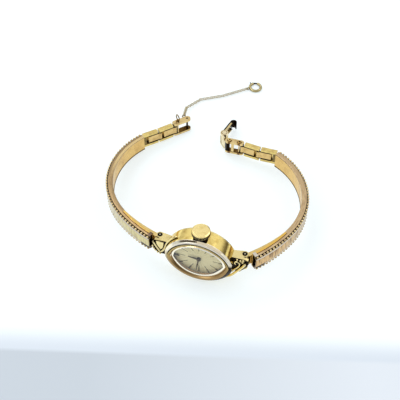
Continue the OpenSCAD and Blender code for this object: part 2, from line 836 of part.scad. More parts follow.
// Two side rails with round ends, of depth t, whose middle lies out beyond the hinge pins
module round_rails(from, to, t, out) {
    for (side = [0, 1]) mirror([0, 0, side]) translate([0, out, link_w / 2 - rail_t]) {
        translate([from, 0, 0]) cylinder(d = t, h = rail_t, $fn = 48);
        translate([to, 0, 0]) cylinder(d = t, h = rail_t, $fn = 48);
        translate([from, -t / 2, 0]) cube([to - from, t, rail_t]);
    }
}

// Web between the two rails
module web(from, long, low, high) {
    translate([from, low, -link_w / 2 + rail_t - 0.01])
        cube([long, high - low, link_w - 2 * rail_t + 0.02]);
}

module end_tube(side) {
    w = knuckle_w;
    tongue = band_w / 2 - step_z - band_wall - fit_gap;
    color(gold) on_band_tip(side) difference() {
        union() {
            knuckle();
            translate([-link_gap + 0.02, -0.4, -w / 2]) cube([link_gap, 0.8, w]);
            translate([-link_gap - 0.55, -band_t / 2 + liner_t + 0.14, -tongue])
                cube([0.57, band_t - liner_t - band_wall - 0.24, 2 * tongue]);
        }
        pin_hole();
    }
}

module left_end_tube() { end_tube(-1); }
module right_end_tube() { end_tube(1); }

module link_frame() {
    color(gold) {
        difference() {
            union() {
                for (side = [0, 1]) mirror([0, 0, side])
                    translate([-rail_lead, link_in_y, link_w / 2 - rail_t])
                        cube([rail_end + rail_lead, link_t, rail_t]);
                web(plate_start, rail_end - plate_start, link_out_y - outer_t, link_out_y);
            }
            translate([0, 0, -link_w / 2 + 0.05 - fit_gap])
                cylinder(d = pin_d + 2 * fit_gap, h = link_w - 0.1 + 2 * fit_gap, $fn = 32);
        }
        hinge_pin();
    }
}

// Spring clip that fills a link on the wrist side and ends in the next hinge tube
clip_start = 1.15;
clip_t = 0.3;
module link_clip() {
    low = link_in_y + 0.1;
    color(rose_gold) difference() {
        union() {
            translate([link_pitch, 0, 0]) knuckle();
            translate([clip_start, low, -knuckle_w / 2])
                cube([link_pitch - clip_start, clip_t, knuckle_w]);
            translate([clip_start, low, -knuckle_w / 2])
                cube([clip_t, link_out_y - outer_t - low, knuckle_w]);
        }
        translate([link_pitch, 0, 0]) pin_hole();
    }
}

module left_link_1() { on_plan(left_1, left_headings[0], -1) link_frame(); }
module left_clip_1() { on_plan(left_1, left_headings[0], -1) link_clip(); }
module left_link_2() { on_plan(left_2, left_headings[1], -1) link_frame(); }
module left_clip_2() { on_plan(left_2, left_headings[1], -1) link_clip(); }
module right_link_1() { on_plan(right_1, right_headings[0], 1) link_frame(); }
module right_clip_1() { on_plan(right_1, right_headings[0], 1) link_clip(); }
module right_link_2() { on_plan(right_2, right_headings[1], 1) link_frame(); }
module right_clip_2() { on_plan(right_2, right_headings[1], 1) link_clip(); }

// Receiver: an open frame that the hook drops into, with a bar across it
receiver_t = 1.9;
receiver_out = 0.45;
catch_d = 0.6;
catch_x = receiver_l - 1.1;

module receiver() {
    color(gold) on_plan(left_3, left_headings[2], -1) {
        difference() {
            union() {
                round_rails(0.35, receiver_l - receiver_t / 2, receiver_t, receiver_out);
                web(plate_start, 0.35, -0.4, receiver_out + receiver_t / 2 - 0.1);
            }
            pin_hole();
            translate([catch_x, receiver_out, 0]) pin_hole(catch_d);
        }
        hinge_pin();
    }
}

module catch_bar() {
    color(dark_gold) on_plan(left_3, left_headings[2], -1)
        translate([catch_x, receiver_out, -link_w / 2]) cylinder(d = catch_d, h = link_w, $fn = 32);
}

// Flat eye for the safety chain on the outer edge of the receiver, and a standing loop near its hinge
eye_r = 0.5;
eye_wire = 0.16;
eye_z = link_w / 2 - rail_t / 2;
eye_x = catch_x - 0.2;
eye_y = receiver_out + receiver_t / 2 + eye_r + eye_wire + 0.02;
stand_r = 0.95;
stand_x = 1.5;

module receiver_eyes() {
    color(gold) on_plan(left_3, left_headings[2], -1) {
        translate([eye_x, eye_y, eye_z]) rotate_extrude($fn = 40)
            translate([eye_r, 0]) circle(r = eye_wire, $fn = 24);
        translate([stand_x, receiver_out + 0.4, link_w / 2]) {
            cylinder(r = 0.4, h = 0.3, $fn = 32);
            translate([0, 0, stand_r + 0.2]) rotate([0, 90, 0]) rotate_extrude($fn = 40)
                translate([stand_r, 0]) circle(r = eye_wire, $fn = 24);
        }
    }
}

// Clasp
clasp_pin = 0.6;
clasp_t = 1.7;
clasp_out = 0.2;
module clasp_frame() {
    color(gold) on_plan(right_3, right_headings[2], 1) {
        difference() {
            union() {
                round_rails(0.3, clasp_frame_l, clasp_t, clasp_out);
                web(plate_start, 0.35, -0.4, clasp_out + clasp_t / 2 - 0.1);
                web(clasp_frame_l - 2, 0.8, clasp_out - clasp_t / 2, clasp_out - clasp_t / 2 + outer_t);
            }
            pin_hole();
            translate([clasp_frame_l, 0, 0]) pin_hole(clasp_pin);
        }
        hinge_pin();
        translate([clasp_frame_l, 0, 0]) hinge_pin(clasp_pin);
    }
}

// Two ring eyes on the crown side of the clasp frame, one with a standing loop for the safety chain
module clasp_eyes() {
    color(gold) on_plan(right_3, right_headings[2], 1)
        for (x = [0.9, clasp_frame_l - 0.5])
            translate([x, clasp_out, link_w / 2]) {
                difference() {
                    cylinder(r = 0.55, h = 0.25, $fn = 40);
                    translate([0, 0, -1]) cylinder(r = 0.25, h = 2, $fn = 32);
                }
                if (x < 2)
                    translate([0, 0, 0.12]) rotate([90, 0, 0]) rotate_extrude(angle = 180, $fn = 40)
                        translate([0.42, 0]) circle(r = 0.1, $fn = 20);
            }
}

// The cover turns about the frame, and its two rolled ears hold the hook
roll_r = barrel_d / 2;
roll_in = 1.15;
roll_out = link_w / 2 - 0.1;
clasp_knuckle = clasp_pin / 2 + 0.32;
clasp_cover_t = 0.4;
tab_l = clasp_out + clasp_t / 2 + 0.25;

// Outline of the cover plate from depth x1 to x2, tangent to the hinge tube and to the roll
module cover_outline(x1, x2) {
    function low(x) = -clasp_knuckle + (clasp_knuckle - roll_r) * x / clasp_cover_l;
    polygon([[x1, low(x1)], [x2, low(x2)], [x2, low(x2) + clasp_cover_t], [x1, low(x1) + clasp_cover_t]]);
}

module clasp_cover() {
    color(gold) on_plan(right_4, right_headings[3], 1) {
        difference() {
            union() {
                translate([0, 0, -knuckle_w / 2]) {
                    cylinder(r = clasp_knuckle, h = knuckle_w, $fn = 40);
                    linear_extrude(knuckle_w) cover_outline(0, tab_l + 0.1);
                }
                translate([0, 0, -roll_out]) linear_extrude(2 * roll_out)
                    cover_outline(tab_l, clasp_cover_l);
                for (t = [0, 1]) mirror([0, 0, t])
                    translate([clasp_cover_l, 0, roll_in + run_gap])
                        cylinder(r = roll_r, h = roll_out - roll_in - run_gap, $fn = 48);
            }
            pin_hole(clasp_pin);
            translate([clasp_cover_l, 0, 0]) pin_hole(clasp_pin);
            translate([clasp_cover_l, 0, -roll_in - run_gap + 0.001])
                cylinder(r = roll_r + run_gap, h = 2 * (roll_in + run_gap) - 0.002, $fn = 48);
        }
        translate([clasp_cover_l, 0, -roll_out]) cylinder(d = clasp_pin, h = 2 * roll_out, $fn = 32);
    }
}

// Hook arm: a shallow channel, narrow enough for the receiver, that ends in a rolled hook
arm_t = 0.35;
arm_h = 0.9;
hook_r = 1;
module clasp_hook() {
    wide = link_w / 2 - rail_t - 0.1;
    low = -roll_r;
    color(dark_gold) on_plan(right_5, right_headings[4], 1) difference() {
        union() {
            translate([0, 0, -roll_in]) cylinder(r = roll_r, h = 2 * roll_in, $fn = 48);
            translate([0, low, -roll_in]) cube([2, arm_t, 2 * roll_in]);
            translate([roll_r + 0.2, low, -wide]) cube([hook_l - roll_r - 0.2, arm_t, 2 * wide]);
            for (t = [0, 1]) mirror([0, 0, t])
                translate([roll_r + 0.2, low, wide - 0.3]) cube([hook_l - roll_r - 0.6, arm_h, 0.3]);
            translate([hook_l, low + hook_r, -wide]) rotate([0, 0, -90])
                rotate_extrude(angle = 165, $fn = 48)
                    translate([hook_r - arm_t, 0]) square([arm_t, 2 * wide]);
        }
        pin_hole(clasp_pin);
    }
}

// Safety chain
// Pitch of two linked rings, one flat and one on edge
loop_r = (chain_link_d - chain_wire) / 2;
loop_pitch = 2 * loop_r - chain_wire - fit_gap;
chain_rings = [12, 10, 12, 14];
chain_headings = [84, 42, 13, 22];
chain_floor = chain_link_d / 2;
first_angle = 25;

function dir(heading, slope) = [cos(heading) * cos(slope), sin(heading) * cos(slope), -sin(slope)];

// Offset to the wire of a flat ring on the side where the next stretch leaves it
function ring_wire(heading, slope, next) =
    let (a = dir(heading, slope), n = [-sin(heading), cos(heading), 0],
         u = (next * a) * a + (next * n) * n)
        loop_r * u / norm(u);

// Last ring of a stretch, and the point one pitch before the first ring of the next
function run_end(from, i, slope) = from + chain_rings[i] * loop_pitch * dir(chain_headings[i], slope);
function next_from(end, i, slope, next) =
    end + ring_wire(chain_headings[i], slope, next) - loop_r * next;

// Slope at which the second stretch ends on the table
second_run = chain_rings[1] * loop_pitch - loop_r * (1 - cos(chain_headings[2] - chain_headings[1]));
function second_fall(end, slope, rounds) = rounds == 0 ? slope :
    let (w = ring_wire(chain_headings[0], first_angle, dir(chain_headings[1], slope)))
        second_fall(end, asin((end[2] + w[2] - chain_floor) / second_run), rounds - 1);

eye_flat = let (h = left_headings[2])
    [left_3[0] + eye_x * cos(h) - eye_y * sin(h), left_3[1] + eye_x * sin(h) + eye_y * cos(h), eye_z];
eye_bow = set_point(eye_flat + eye_r * [cos(chain_headings[0]), sin(chain_headings[0]), 0]);
first_in = loop_r - chain_wire / 2 - eye_wire - fit_gap - loop_pitch;
chain_1_from = eye_bow + first_in * dir(chain_headings[0], first_angle);
chain_1_end = run_end(chain_1_from, 0, first_angle);
second_slope = second_fall(chain_1_end, 8, 6);
chain_2_from = next_from(chain_1_end, 0, first_angle, dir(chain_headings[1], second_slope));
chain_2_end = run_end(chain_2_from, 1, second_slope);
chain_3_from = next_from(chain_2_end, 1, second_slope, dir(chain_headings[2], 0));
chain_3_end = run_end(chain_3_from, 2, 0);
chain_4_from = next_from(chain_3_end, 2, 0, dir(chain_headings[3], 0));
chain_end = run_end(chain_4_from, 3, 0);

module loop_ring() {
    rotate_extrude($fn = 32) translate([loop_r, 0]) circle(r = chain_wire / 2, $fn = 20);
}

// Rings of one stretch: the first stands on edge in the last, flat ring of the stretch before
module chain_run(from, count, heading, slope) {
    color(gold) translate(from) rotate([0, slope, heading])
        for (i = [1:count])
            translate([i * loop_pitch, 0, 0])
                rotate([i % 2 == 1 ? 90 : 0, 0, 0])
                    loop_ring();
}

module chain_1() { chain_run(chain_1_from, chain_rings[0], chain_headings[0], first_angle); }
module chain_2() { chain_run(chain_2_from, chain_rings[1], chain_headings[1], second_slope); }
module chain_3() { chain_run(chain_3_from, chain_rings[2], chain_headings[2], 0); }
module chain_4() { chain_run(chain_4_from, chain_rings[3], chain_headings[3], 0); }

// Spring ring
ring_r = (ring_d - ring_tube) / 2;
ring_bore = ring_tube / 2 - 0.16;
ring_heading = 16;
base_eye = 0.42;
gap_from = 50;
gap_to = 95;
slot_to = 150;
bolt_r = ring_bore - 0.04;
lever_turn = 112;

module on_ring() {
    translate([chain_end[0], chain_end[1], chain_floor])
        rotate([0, 0, ring_heading])
            translate([loop_r + base_eye - eye_wire - chain_wire / 2 - fit_gap, 0, 0])
                children();
}

ring_x = base_eye + ring_r + ring_tube / 2 - 0.1;

module spring_ring() {
    color(gold) on_ring() {
        difference() {
            union() {
                translate([ring_x, 0, ring_tube / 2 - chain_floor]) rotate([0, 0, gap_to])
                    rotate_extrude(angle = 360 - gap_to + gap_from, $fn = 72)
                        translate([ring_r, 0]) circle(r = ring_tube / 2, $fn = 36);
                rotate([90, 0, 0]) rotate_extrude($fn = 40)
                    translate([base_eye, 0]) circle(r = eye_wire, $fn = 24);
            }
            translate([ring_x, 0, ring_tube / 2 - chain_floor]) {
                rotate([0, 0, gap_from - 15]) rotate_extrude(angle = 15 + slot_to + 20 - gap_from, $fn = 72)
                    translate([ring_r, 0]) circle(r = ring_bore, $fn = 32);
                rotate([0, 0, lever_turn - 7]) rotate_extrude(angle = slot_to - lever_turn + 14, $fn = 72)
                    translate([ring_r, -0.2]) square([ring_tube, 0.4]);
            }
        }
    }
}

module ring_trigger() {
    color(dark_gold) on_ring() translate([ring_x, 0, ring_tube / 2 - chain_floor]) {
        rotate([0, 0, gap_from - 10]) rotate_extrude(angle = lever_turn + 8 - gap_from + 10, $fn = 72)
            translate([ring_r, 0]) circle(r = bolt_r, $fn = 32);
        rotate([0, 0, lever_turn]) translate([ring_r, 0, 0]) rotate([0, 90, 0])
            cylinder(r = 0.15, h = ring_tube / 2 + 0.55, $fn = 24);
    }
}

case_middle();
case_back();
bezel();
crystal();
dial();
hour_batons();
left_lug();
right_lug();
left_ribbon();
right_ribbon();
heart_plate();
scroll();
left_lug_beads();
right_lug_beads();
lug_bars();
movement_plate();
barrel_bridge();
train_bridge();
balance_cock();
mainspring_barrel();
centre_wheel();
third_wheel();
balance_wheel();
pendant_tube();
winding_stem();
crown();
minute_hand();
hour_hand();
left_shell();
left_liner();
left_beading();
left_leaf();
left_end_tube();
right_shell();
right_liner();
right_beading();
right_leaf();
right_end_tube();
left_link_1();
left_clip_1();
left_link_2();
left_clip_2();
right_link_1();
right_clip_1();
right_link_2();
right_clip_2();
receiver();
catch_bar();
clasp_frame();
clasp_eyes();
clasp_cover();
clasp_hook();
receiver_eyes();
chain_1();
chain_2();
chain_3();
chain_4();
spring_ring();
ring_trigger();
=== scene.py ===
import math

import bmesh
import bpy
from mathutils import Matrix, Vector


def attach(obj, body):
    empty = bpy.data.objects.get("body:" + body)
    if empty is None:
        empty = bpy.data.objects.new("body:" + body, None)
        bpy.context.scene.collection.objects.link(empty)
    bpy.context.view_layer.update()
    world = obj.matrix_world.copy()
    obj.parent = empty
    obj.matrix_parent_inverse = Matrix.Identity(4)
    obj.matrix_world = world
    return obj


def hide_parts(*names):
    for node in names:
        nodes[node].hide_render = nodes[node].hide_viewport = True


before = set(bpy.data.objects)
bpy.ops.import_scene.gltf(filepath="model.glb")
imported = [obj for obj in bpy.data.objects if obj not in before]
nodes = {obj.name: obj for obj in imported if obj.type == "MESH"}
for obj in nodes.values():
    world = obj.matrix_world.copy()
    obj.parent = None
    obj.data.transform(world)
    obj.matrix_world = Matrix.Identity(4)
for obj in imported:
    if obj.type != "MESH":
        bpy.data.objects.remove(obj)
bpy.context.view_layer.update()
mm = 0.001
print("frame loaded:", len(nodes), "nodes")

# how the flat plan of the bracelet leans onto the table, and where the case stands in it
rest = {"shift": (-1.776, -14.072, 6.208), "tilt": 6.78, "casePlace": (0.1, -19.5), "caseTurn": -16.5}


def plan():
    x, y, z = rest["shift"]
    return Matrix.Translation((x * mm, y * mm, z * mm)) @ Matrix.Rotation(-math.radians(rest["tilt"]), 4, "X")


def turned(degrees, axis="Z"):
    return Matrix.Rotation(math.radians(degrees), 4, axis)


def caseFace():
    x, y = rest["casePlace"]
    return plan() @ Matrix.Translation((x * mm, y * mm, 0)) @ turned(rest["caseTurn"]) @ turned(90, "X")


# colours and finishes


def srgb(code):
    parts = [int(code[i:i + 2], 16) / 255 for i in (0, 2, 4)]
    return tuple(c / 12.92 if c <= 0.04045 else ((c + 0.055) / 1.055) ** 2.4 for c in parts) + (1.0,)


def addNode(tree, kind, links=None, **settings):
    # a link gives a socket a value, another socket, or a node whose first output is meant
    node = tree.nodes.new(kind)
    for name, value in settings.items():
        setattr(node, name, value)
    for socket, source in (links or {}).items():
        if isinstance(source, bpy.types.Node):
            source = source.outputs[0]
        if isinstance(source, bpy.types.NodeSocket):
            tree.links.new(source, node.inputs[socket])
        else:
            node.inputs[socket].default_value = source
    return node


def newMaterial(name):
    material = bpy.data.materials.new(name)
    material.use_nodes = True
    tree = material.node_tree
    tree.nodes.clear()
    surface = addNode(tree, "ShaderNodeBsdfPrincipled")
    output = addNode(tree, "ShaderNodeOutputMaterial", {"Surface": surface})
    return material, tree, surface, output


def coordsIn(tree, place):
    # object space turned into the frame of one piece
    spot = addNode(tree, "ShaderNodeTexCoord").outputs["Object"]
    inverse = place.inverted()
    local = addNode(tree, "ShaderNodeMapping", {"Vector": spot, "Location": inverse.translation,
                                                "Rotation": inverse.to_euler()})
    return addNode(tree, "ShaderNodeSeparateXYZ", {0: local}).outputs


def layered(tree, colour, tones):
    # lays tones over a colour one after another, each as a share and a hex code or a colour of its own
    for share, tone in tones:
        under, over = [srgb(c) if isinstance(c, str) else c for c in (colour, tone)]
        colour = addNode(tree, "ShaderNodeMix", {0: share, 6: under, 7: over}, data_type="RGBA").outputs[2]
    return colour


def between(tree, value, zone):
    # 1 where a value lies between two limits in mm, 0 elsewhere
    over = addNode(tree, "ShaderNodeMath", {0: value, 1: zone[0] * mm}, operation="GREATER_THAN")
    under = addNode(tree, "ShaderNodeMath", {0: value, 1: zone[1] * mm}, operation="LESS_THAN")
    return addNode(tree, "ShaderNodeMath", {0: over, 1: under}, operation="MULTIPLY").outputs[0]


def awayFrom(tree, u, v, axis):
    # distance from an axis that two coordinates in mm give
    spot = addNode(tree, "ShaderNodeCombineXYZ", {
        0: addNode(tree, "ShaderNodeMath", {0: u, 1: axis[0] * mm}, operation="SUBTRACT"),
        1: addNode(tree, "ShaderNodeMath", {0: v, 1: axis[1] * mm}, operation="SUBTRACT")})
    return addNode(tree, "ShaderNodeVectorMath", {0: spot}, operation="LENGTH").outputs["Value"]


# painted shade: seams and corners darken towards near black by how enclosed they are, as ambient occlusion
# measures it
cornerShade = {"colour": "1A120A", "deep": 0.38, "clear": 0.8, "most": 0.95, "samples": 8}


def shadedInCorners(tree, colour, reach):
    corner = addNode(tree, "ShaderNodeAmbientOcclusion", {"Distance": reach * mm}, samples=cornerShade["samples"])
    share = addNode(tree, "ShaderNodeMapRange", {0: corner.outputs["AO"], 1: cornerShade["deep"], 2: cornerShade["clear"],
                                                 3: cornerShade["most"], 4: 0.0})
    return layered(tree, colour, [(share, cornerShade["colour"])])


# lengths in mm, also a plate's cloud size and reach of the painted corner shade; scratches are drawn 0.25 mm
# apart, since finer ones don't show at this size, and the roughness varies with them
wear = {"cloud": (0.45, 0.7), "apart": 0.25, "from": 0.3, "to": 0.7, "smoothest": 0.75, "roughest": 1.35,
        "deep": 0.02, "edge": 0.07, "bevelSamples": 4}


def goldPlate(name, colour, tarnish, roughness, cloud, haze=0.3, scratches=0.10, reach=0.5, marks=None):
    # electroplated gold: mirror bright, with soft clouds of tarnish and fine wear scratches
    material, tree, surface, output = newMaterial(name)
    place = addNode(tree, "ShaderNodeTexCoord").outputs["Object"]
    clouds = addNode(tree, "ShaderNodeTexNoise", {"Vector": place, "Scale": 1 / (cloud * mm), "Detail": 3.0})
    share = addNode(tree, "ShaderNodeMapRange", {0: clouds, 1: wear["cloud"][0], 2: wear["cloud"][1],
                                                 3: 0.0, 4: haze})
    worn = layered(tree, colour, [(share, tarnish)])
    if marks:
        worn = marks(tree, worn)
    # painted shade darkens the plate's seams and corners
    tree.links.new(shadedInCorners(tree, worn, reach), surface.inputs["Base Color"])
    rubbed = addNode(tree, "ShaderNodeTexNoise", {"Vector": place, "Scale": 1 / (wear["apart"] * mm),
                                                  "Detail": 2.0})
    rough = addNode(tree, "ShaderNodeMapRange", {0: rubbed, 1: wear["from"], 2: wear["to"],
                                                 3: roughness * wear["smoothest"],
                                                 4: roughness * wear["roughest"]})
    tree.links.new(rough.outputs[0], surface.inputs["Roughness"])
    rounded = addNode(tree, "ShaderNodeBevel", {"Radius": wear["edge"] * mm}, samples=wear["bevelSamples"])
    bump = addNode(tree, "ShaderNodeBump", {"Height": rubbed, "Strength": scratches,
                                            "Distance": wear["deep"] * mm, "Normal": rounded})
    tree.links.new(bump.outputs[0], surface.inputs["Normal"])
    surface.inputs["Metallic"].default_value = 1.0
    return material


# the front of the case, in mm: half length and half width of the crystal, distances from its outline, and
# places in the case's frame; pairs such as the lip's hold above the dial and below it
caseZones = {
    "crystal": (7.5, 5.8), "ringInside": (0.4, 1.1), "ringOutside": (0.0, 0.4), "lip": (0.3, 0.0),
    "line": (0.75, 1.1), "turn": 2.0, "front": 1.95, "rimShare": 0.8, "outerEdge": 1.95,
    "grooveAlong": (2.0, 5.0), "grooveEnd": 8.0, "grooveFrom": (1.7, 0.75), "grooveTop": (0.4, 1.2),
    # bright is a painted highlight on the bezel's lip and the crystal's ring; upper, lower and the flat tones
    # are painted reflections, paler above the dial and browner below; groove is painted shade
    "paintedGrooveShade": "1C140C", "bright": "FFF6E2", "dark": "3E3018", "flatUpper": "C8B070", "flatLower": "A8885A",
    "upper": "FFF6E4", "lower": "94764A", "facetRough": 0.35, "lipRough": 0.14, "edge": 0.06,
}


def caseFront(tree):
    # the case's own frame, the distance outside the crystal's outline of two arcs, and 1 below mid dial
    x, y, z = coordsIn(tree, caseFace())
    a, b = caseZones["crystal"]
    arc = (a * a + b * b) / (2 * b)
    side = addNode(tree, "ShaderNodeMath", {0: y}, operation="ABSOLUTE")
    far = awayFrom(tree, x, side, (0.0, b - arc))
    out = addNode(tree, "ShaderNodeMath", {0: far, 1: arc * mm}, operation="SUBTRACT")
    turn = caseZones["turn"] * mm
    low = addNode(tree, "ShaderNodeMapRange", {0: y, 1: -turn, 2: turn, 3: 1.0, 4: 0.0})
    return x, y, z, out, low


def paintedGrooveShade(tree, x, y, out):
    # painted shade: black fills the groove between the case and the right ribbon, wider towards the lug
    start, full = caseZones["grooveAlong"]
    along = addNode(tree, "ShaderNodeMapRange", {0: x, 1: start * mm, 2: full * mm, 3: 0.0, 4: 1.0})
    narrow, wide = caseZones["grooveFrom"]
    edge = addNode(tree, "ShaderNodeMapRange", {0: x, 1: start * mm, 2: caseZones["grooveEnd"] * mm,
                                                3: narrow * mm, 4: wide * mm})
    outside = addNode(tree, "ShaderNodeMath", {0: out, 1: edge}, operation="GREATER_THAN")
    sure, faded = caseZones["grooveTop"]
    below = addNode(tree, "ShaderNodeMapRange", {0: y, 1: sure * mm, 2: faded * mm, 3: 1.0, 4: 0.0})
    both = addNode(tree, "ShaderNodeMath", {0: outside, 1: below}, operation="MULTIPLY")
    return addNode(tree, "ShaderNodeMath", {0: both, 1: along}, operation="MULTIPLY")


def rimReflectionAndShade(tree, colour):
    # painted reflection on the bevelled front rim of the case, in the darker room's tones, and the groove's
    # painted black shade runs onto it
    x, y, z, out, low = caseFront(tree)
    front = addNode(tree, "ShaderNodeMath", {0: z, 1: caseZones["front"] * mm}, operation="GREATER_THAN")
    rim = addNode(tree, "ShaderNodeMath", {0: front, 1: caseZones["rimShare"]}, operation="MULTIPLY")
    inner = addNode(tree, "ShaderNodeMath", {0: out, 1: caseZones["outerEdge"] * mm}, operation="LESS_THAN")
    shadedGroove = addNode(tree, "ShaderNodeMath", {0: paintedGrooveShade(tree, x, y, out), 1: inner}, operation="MULTIPLY")
    shadedGroove = addNode(tree, "ShaderNodeMath", {0: shadedGroove, 1: front}, operation="MULTIPLY")
    # painted reflection: the rim is grey above the dial and brown below it
    tone = layered(tree, caseZones["upper"], [(low, caseZones["lower"])])
    return layered(tree, colour, [(rim, tone), (shadedGroove, caseZones["paintedGrooveShade"])])


# the lugs, in the case's frame, in mm: the sunk ground, the spring bars and the hollow round them; black is
# painted shade
lugShade = {"black": "1C140C", "ground": 0.44, "bar": (11.5, -1.5), "barHole": 0.7, "barEndShade": 0.22}


def fromBar(tree, x, z):
    # distance from the nearer of the two spring bars
    side = addNode(tree, "ShaderNodeMath", {0: x}, operation="ABSOLUTE")
    return awayFrom(tree, side, z, lugShade["bar"])


def lugRecessShade(tree, colour):
    # painted shade: the sunk face behind the ribbons and beads is black, and so is the hollow round the
    # spring bar
    x, y, z = coordsIn(tree, caseFace())
    sunk = addNode(tree, "ShaderNodeMath", {0: z, 1: lugShade["ground"] * mm}, operation="GREATER_THAN")
    hole = addNode(tree, "ShaderNodeMath", {0: fromBar(tree, x, z), 1: lugShade["barHole"] * mm},
                   operation="LESS_THAN")
    return layered(tree, colour, [(sunk, lugShade["black"]), (hole, lugShade["black"])])


def barEndShade(tree, colour):
    # painted shade: a black ring round the bar's end, where it sits in the lug
    x, y, z = coordsIn(tree, caseFace())
    ring = addNode(tree, "ShaderNodeMath", {0: fromBar(tree, x, z), 1: lugShade["barEndShade"] * mm},
                   operation="GREATER_THAN")
    return layered(tree, colour, [(ring, lugShade["black"])])


# the crown, in the case's frame, in mm: its axis, how far in from its teeth's tips the painted shade begins,
# its cap and its foot
crownShade = {"black": "1C140C", "axis": (0.2, 0.1), "tooth": (2.4, 2.45), "cap": 9.56, "foot": (8.75, 8.95)}


def crownGrooveShade(tree, colour):
    # painted shade: the bottom of each groove of the milled rim is darkened, and the foot under it
    x, y, z = coordsIn(tree, caseFace())
    low, high = crownShade["tooth"]
    deep = addNode(tree, "ShaderNodeMapRange", {0: awayFrom(tree, x, z, crownShade["axis"]), 1: low * mm,
                                                2: high * mm, 3: 1.0, 4: 0.0})
    under = addNode(tree, "ShaderNodeMath", {0: y, 1: crownShade["cap"] * mm}, operation="LESS_THAN")
    cut = addNode(tree, "ShaderNodeMath", {0: deep, 1: under}, operation="MULTIPLY")
    low, high = crownShade["foot"]
    foot = addNode(tree, "ShaderNodeMapRange", {0: y, 1: low * mm, 2: high * mm, 3: 1.0, 4: 0.0})
    dark = addNode(tree, "ShaderNodeMath", {0: cut, 1: foot}, operation="MAXIMUM")
    return layered(tree, colour, [(dark, crownShade["black"])])


# the spring clips, in the plan's frame: how far from the middle the painted shade of the seam begins and is
# full, in mm
clipShade = {"black": "1C140C", "seam": (1.02, 1.1)}


def clipEdgeShade(tree, colour):
    # painted shade: black seams along both edges of a spring clip, in the gaps against the rails
    x, y, z = coordsIn(tree, plan())
    side = addNode(tree, "ShaderNodeMath", {0: z}, operation="ABSOLUTE")
    low, high = clipShade["seam"]
    seam = addNode(tree, "ShaderNodeMapRange", {0: side, 1: low * mm, 2: high * mm, 3: 0.0, 4: 1.0})
    return layered(tree, colour, [(seam, clipShade["black"])])


# the hook, in its own frame, in mm: where its roll lies in the plan, then its back plate, tip and upper half;
# black is painted shade and reflection
hookShadeZones = {"black": "1C140C", "at": (7.394, 25.985), "turn": 60.5, "back": (0.75, 0.8), "tip": (5.7, 5.8),
            "upper": -0.2}


def hookShade(tree, colour):
    # painted shade and reflection: the back plate and the rolled tip of the hook are black
    x, y = hookShadeZones["at"]
    place = plan() @ Matrix.Translation((x * mm, y * mm, 0)) @ turned(hookShadeZones["turn"])
    x, y, z = coordsIn(tree, place)
    low, high = hookShadeZones["back"]
    back = addNode(tree, "ShaderNodeMapRange", {0: y, 1: low * mm, 2: high * mm, 3: 0.0, 4: 1.0})
    low, high = hookShadeZones["tip"]
    tip = addNode(tree, "ShaderNodeMapRange", {0: x, 1: low * mm, 2: high * mm, 3: 0.0, 4: 1.0})
    upper = addNode(tree, "ShaderNodeMath", {0: z, 1: hookShadeZones["upper"] * mm}, operation="GREATER_THAN")
    plate = addNode(tree, "ShaderNodeMath", {0: back, 1: upper}, operation="MULTIPLY")
    darkened = addNode(tree, "ShaderNodeMath", {0: plate, 1: tip}, operation="MAXIMUM")
    return layered(tree, colour, [(darkened, hookShadeZones["black"])])


# the clasp and the receiver, in the plan's frame, in mm: the inner pin, the rails' insides and the rings of
# painted shade
claspShade = {"black": "1C140C", "brown": "5E4216", "rim": "7A5A34", "pin": (8.377, 22.418), "inside": 1.46,
             "rail": (-1.62, -1.38), "rollRing": (0.72, 0.92), "eyeRing": (0.56, 0.76),
             "eyes": ((11.724, 21.394), (8.855, 22.271)), "frameReach": 1.3, "coverReach": 0.95}


def shadedClasp(reach):
    # painted shade: brown inside the lower rail, brown rings round the eyes and the hook's roll, black round
    # the inner pin
    def marks(tree, colour):
        x, y, z = coordsIn(tree, plan())
        side = addNode(tree, "ShaderNodeMath", {0: z}, operation="ABSOLUTE")
        within = addNode(tree, "ShaderNodeMath", {0: side, 1: claspShade["inside"] * mm},
                         operation="LESS_THAN")
        outside = addNode(tree, "ShaderNodeMath", {0: 1.0, 1: within}, operation="SUBTRACT")
        near = addNode(tree, "ShaderNodeMath", {0: awayFrom(tree, x, y, claspShade["pin"]), 1: reach * mm},
                       operation="LESS_THAN")
        pin = addNode(tree, "ShaderNodeMath", {0: within, 1: near}, operation="MULTIPLY")
        tones = [(pin, claspShade["black"]), (between(tree, z, claspShade["rail"]), claspShade["brown"])]
        rings = {hookShadeZones["at"]: claspShade["rollRing"]}
        rings.update({eye: claspShade["eyeRing"] for eye in claspShade["eyes"]})
        for centre, zone in rings.items():
            ring = between(tree, awayFrom(tree, x, y, centre), zone)
            shown = addNode(tree, "ShaderNodeMath", {0: ring, 1: outside}, operation="MULTIPLY")
            tones.append((shown, claspShade["rim"]))
        return layered(tree, colour, tones)
    return marks


# polished plate: mirror bright, with warm clouds
polishedGold = goldPlate("polishedGoldPlate", "E4C682", "AD8A48", 0.13, 2.5, haze=0.4)
paleGold = goldPlate("paleGoldPlate", "F0DDA2", "B5975A", 0.15, 2.5)
crownGold = goldPlate("crownPlate", "F8E09A", "D8B766", 0.16, 1.2, haze=0.5, marks=crownGrooveShade)
lugGold = goldPlate("lugPlate", "EBD696", "A98C4E", 0.15, 2.0, haze=0.4, marks=lugRecessShade)
# mottled plate: bright, with darker patches where it was handled; the case's rim and groove and the clasp's
# dark marks are painted reflection and shade
caseGold = goldPlate("mottledCasePlate", "F6DA84", "B8903E", 0.12, 1.6, haze=0.6, reach=0.2, marks=rimReflectionAndShade)
claspGold = goldPlate("claspPlate", "E0C48A", "A8864A", 0.15, 1.5, haze=0.5,
                      marks=shadedClasp(claspShade["frameReach"]))
coverGold = goldPlate("coverPlate", "F2E2BA", "B89C64", 0.15, 1.5, haze=0.4,
                      marks=shadedClasp(claspShade["coverReach"]))
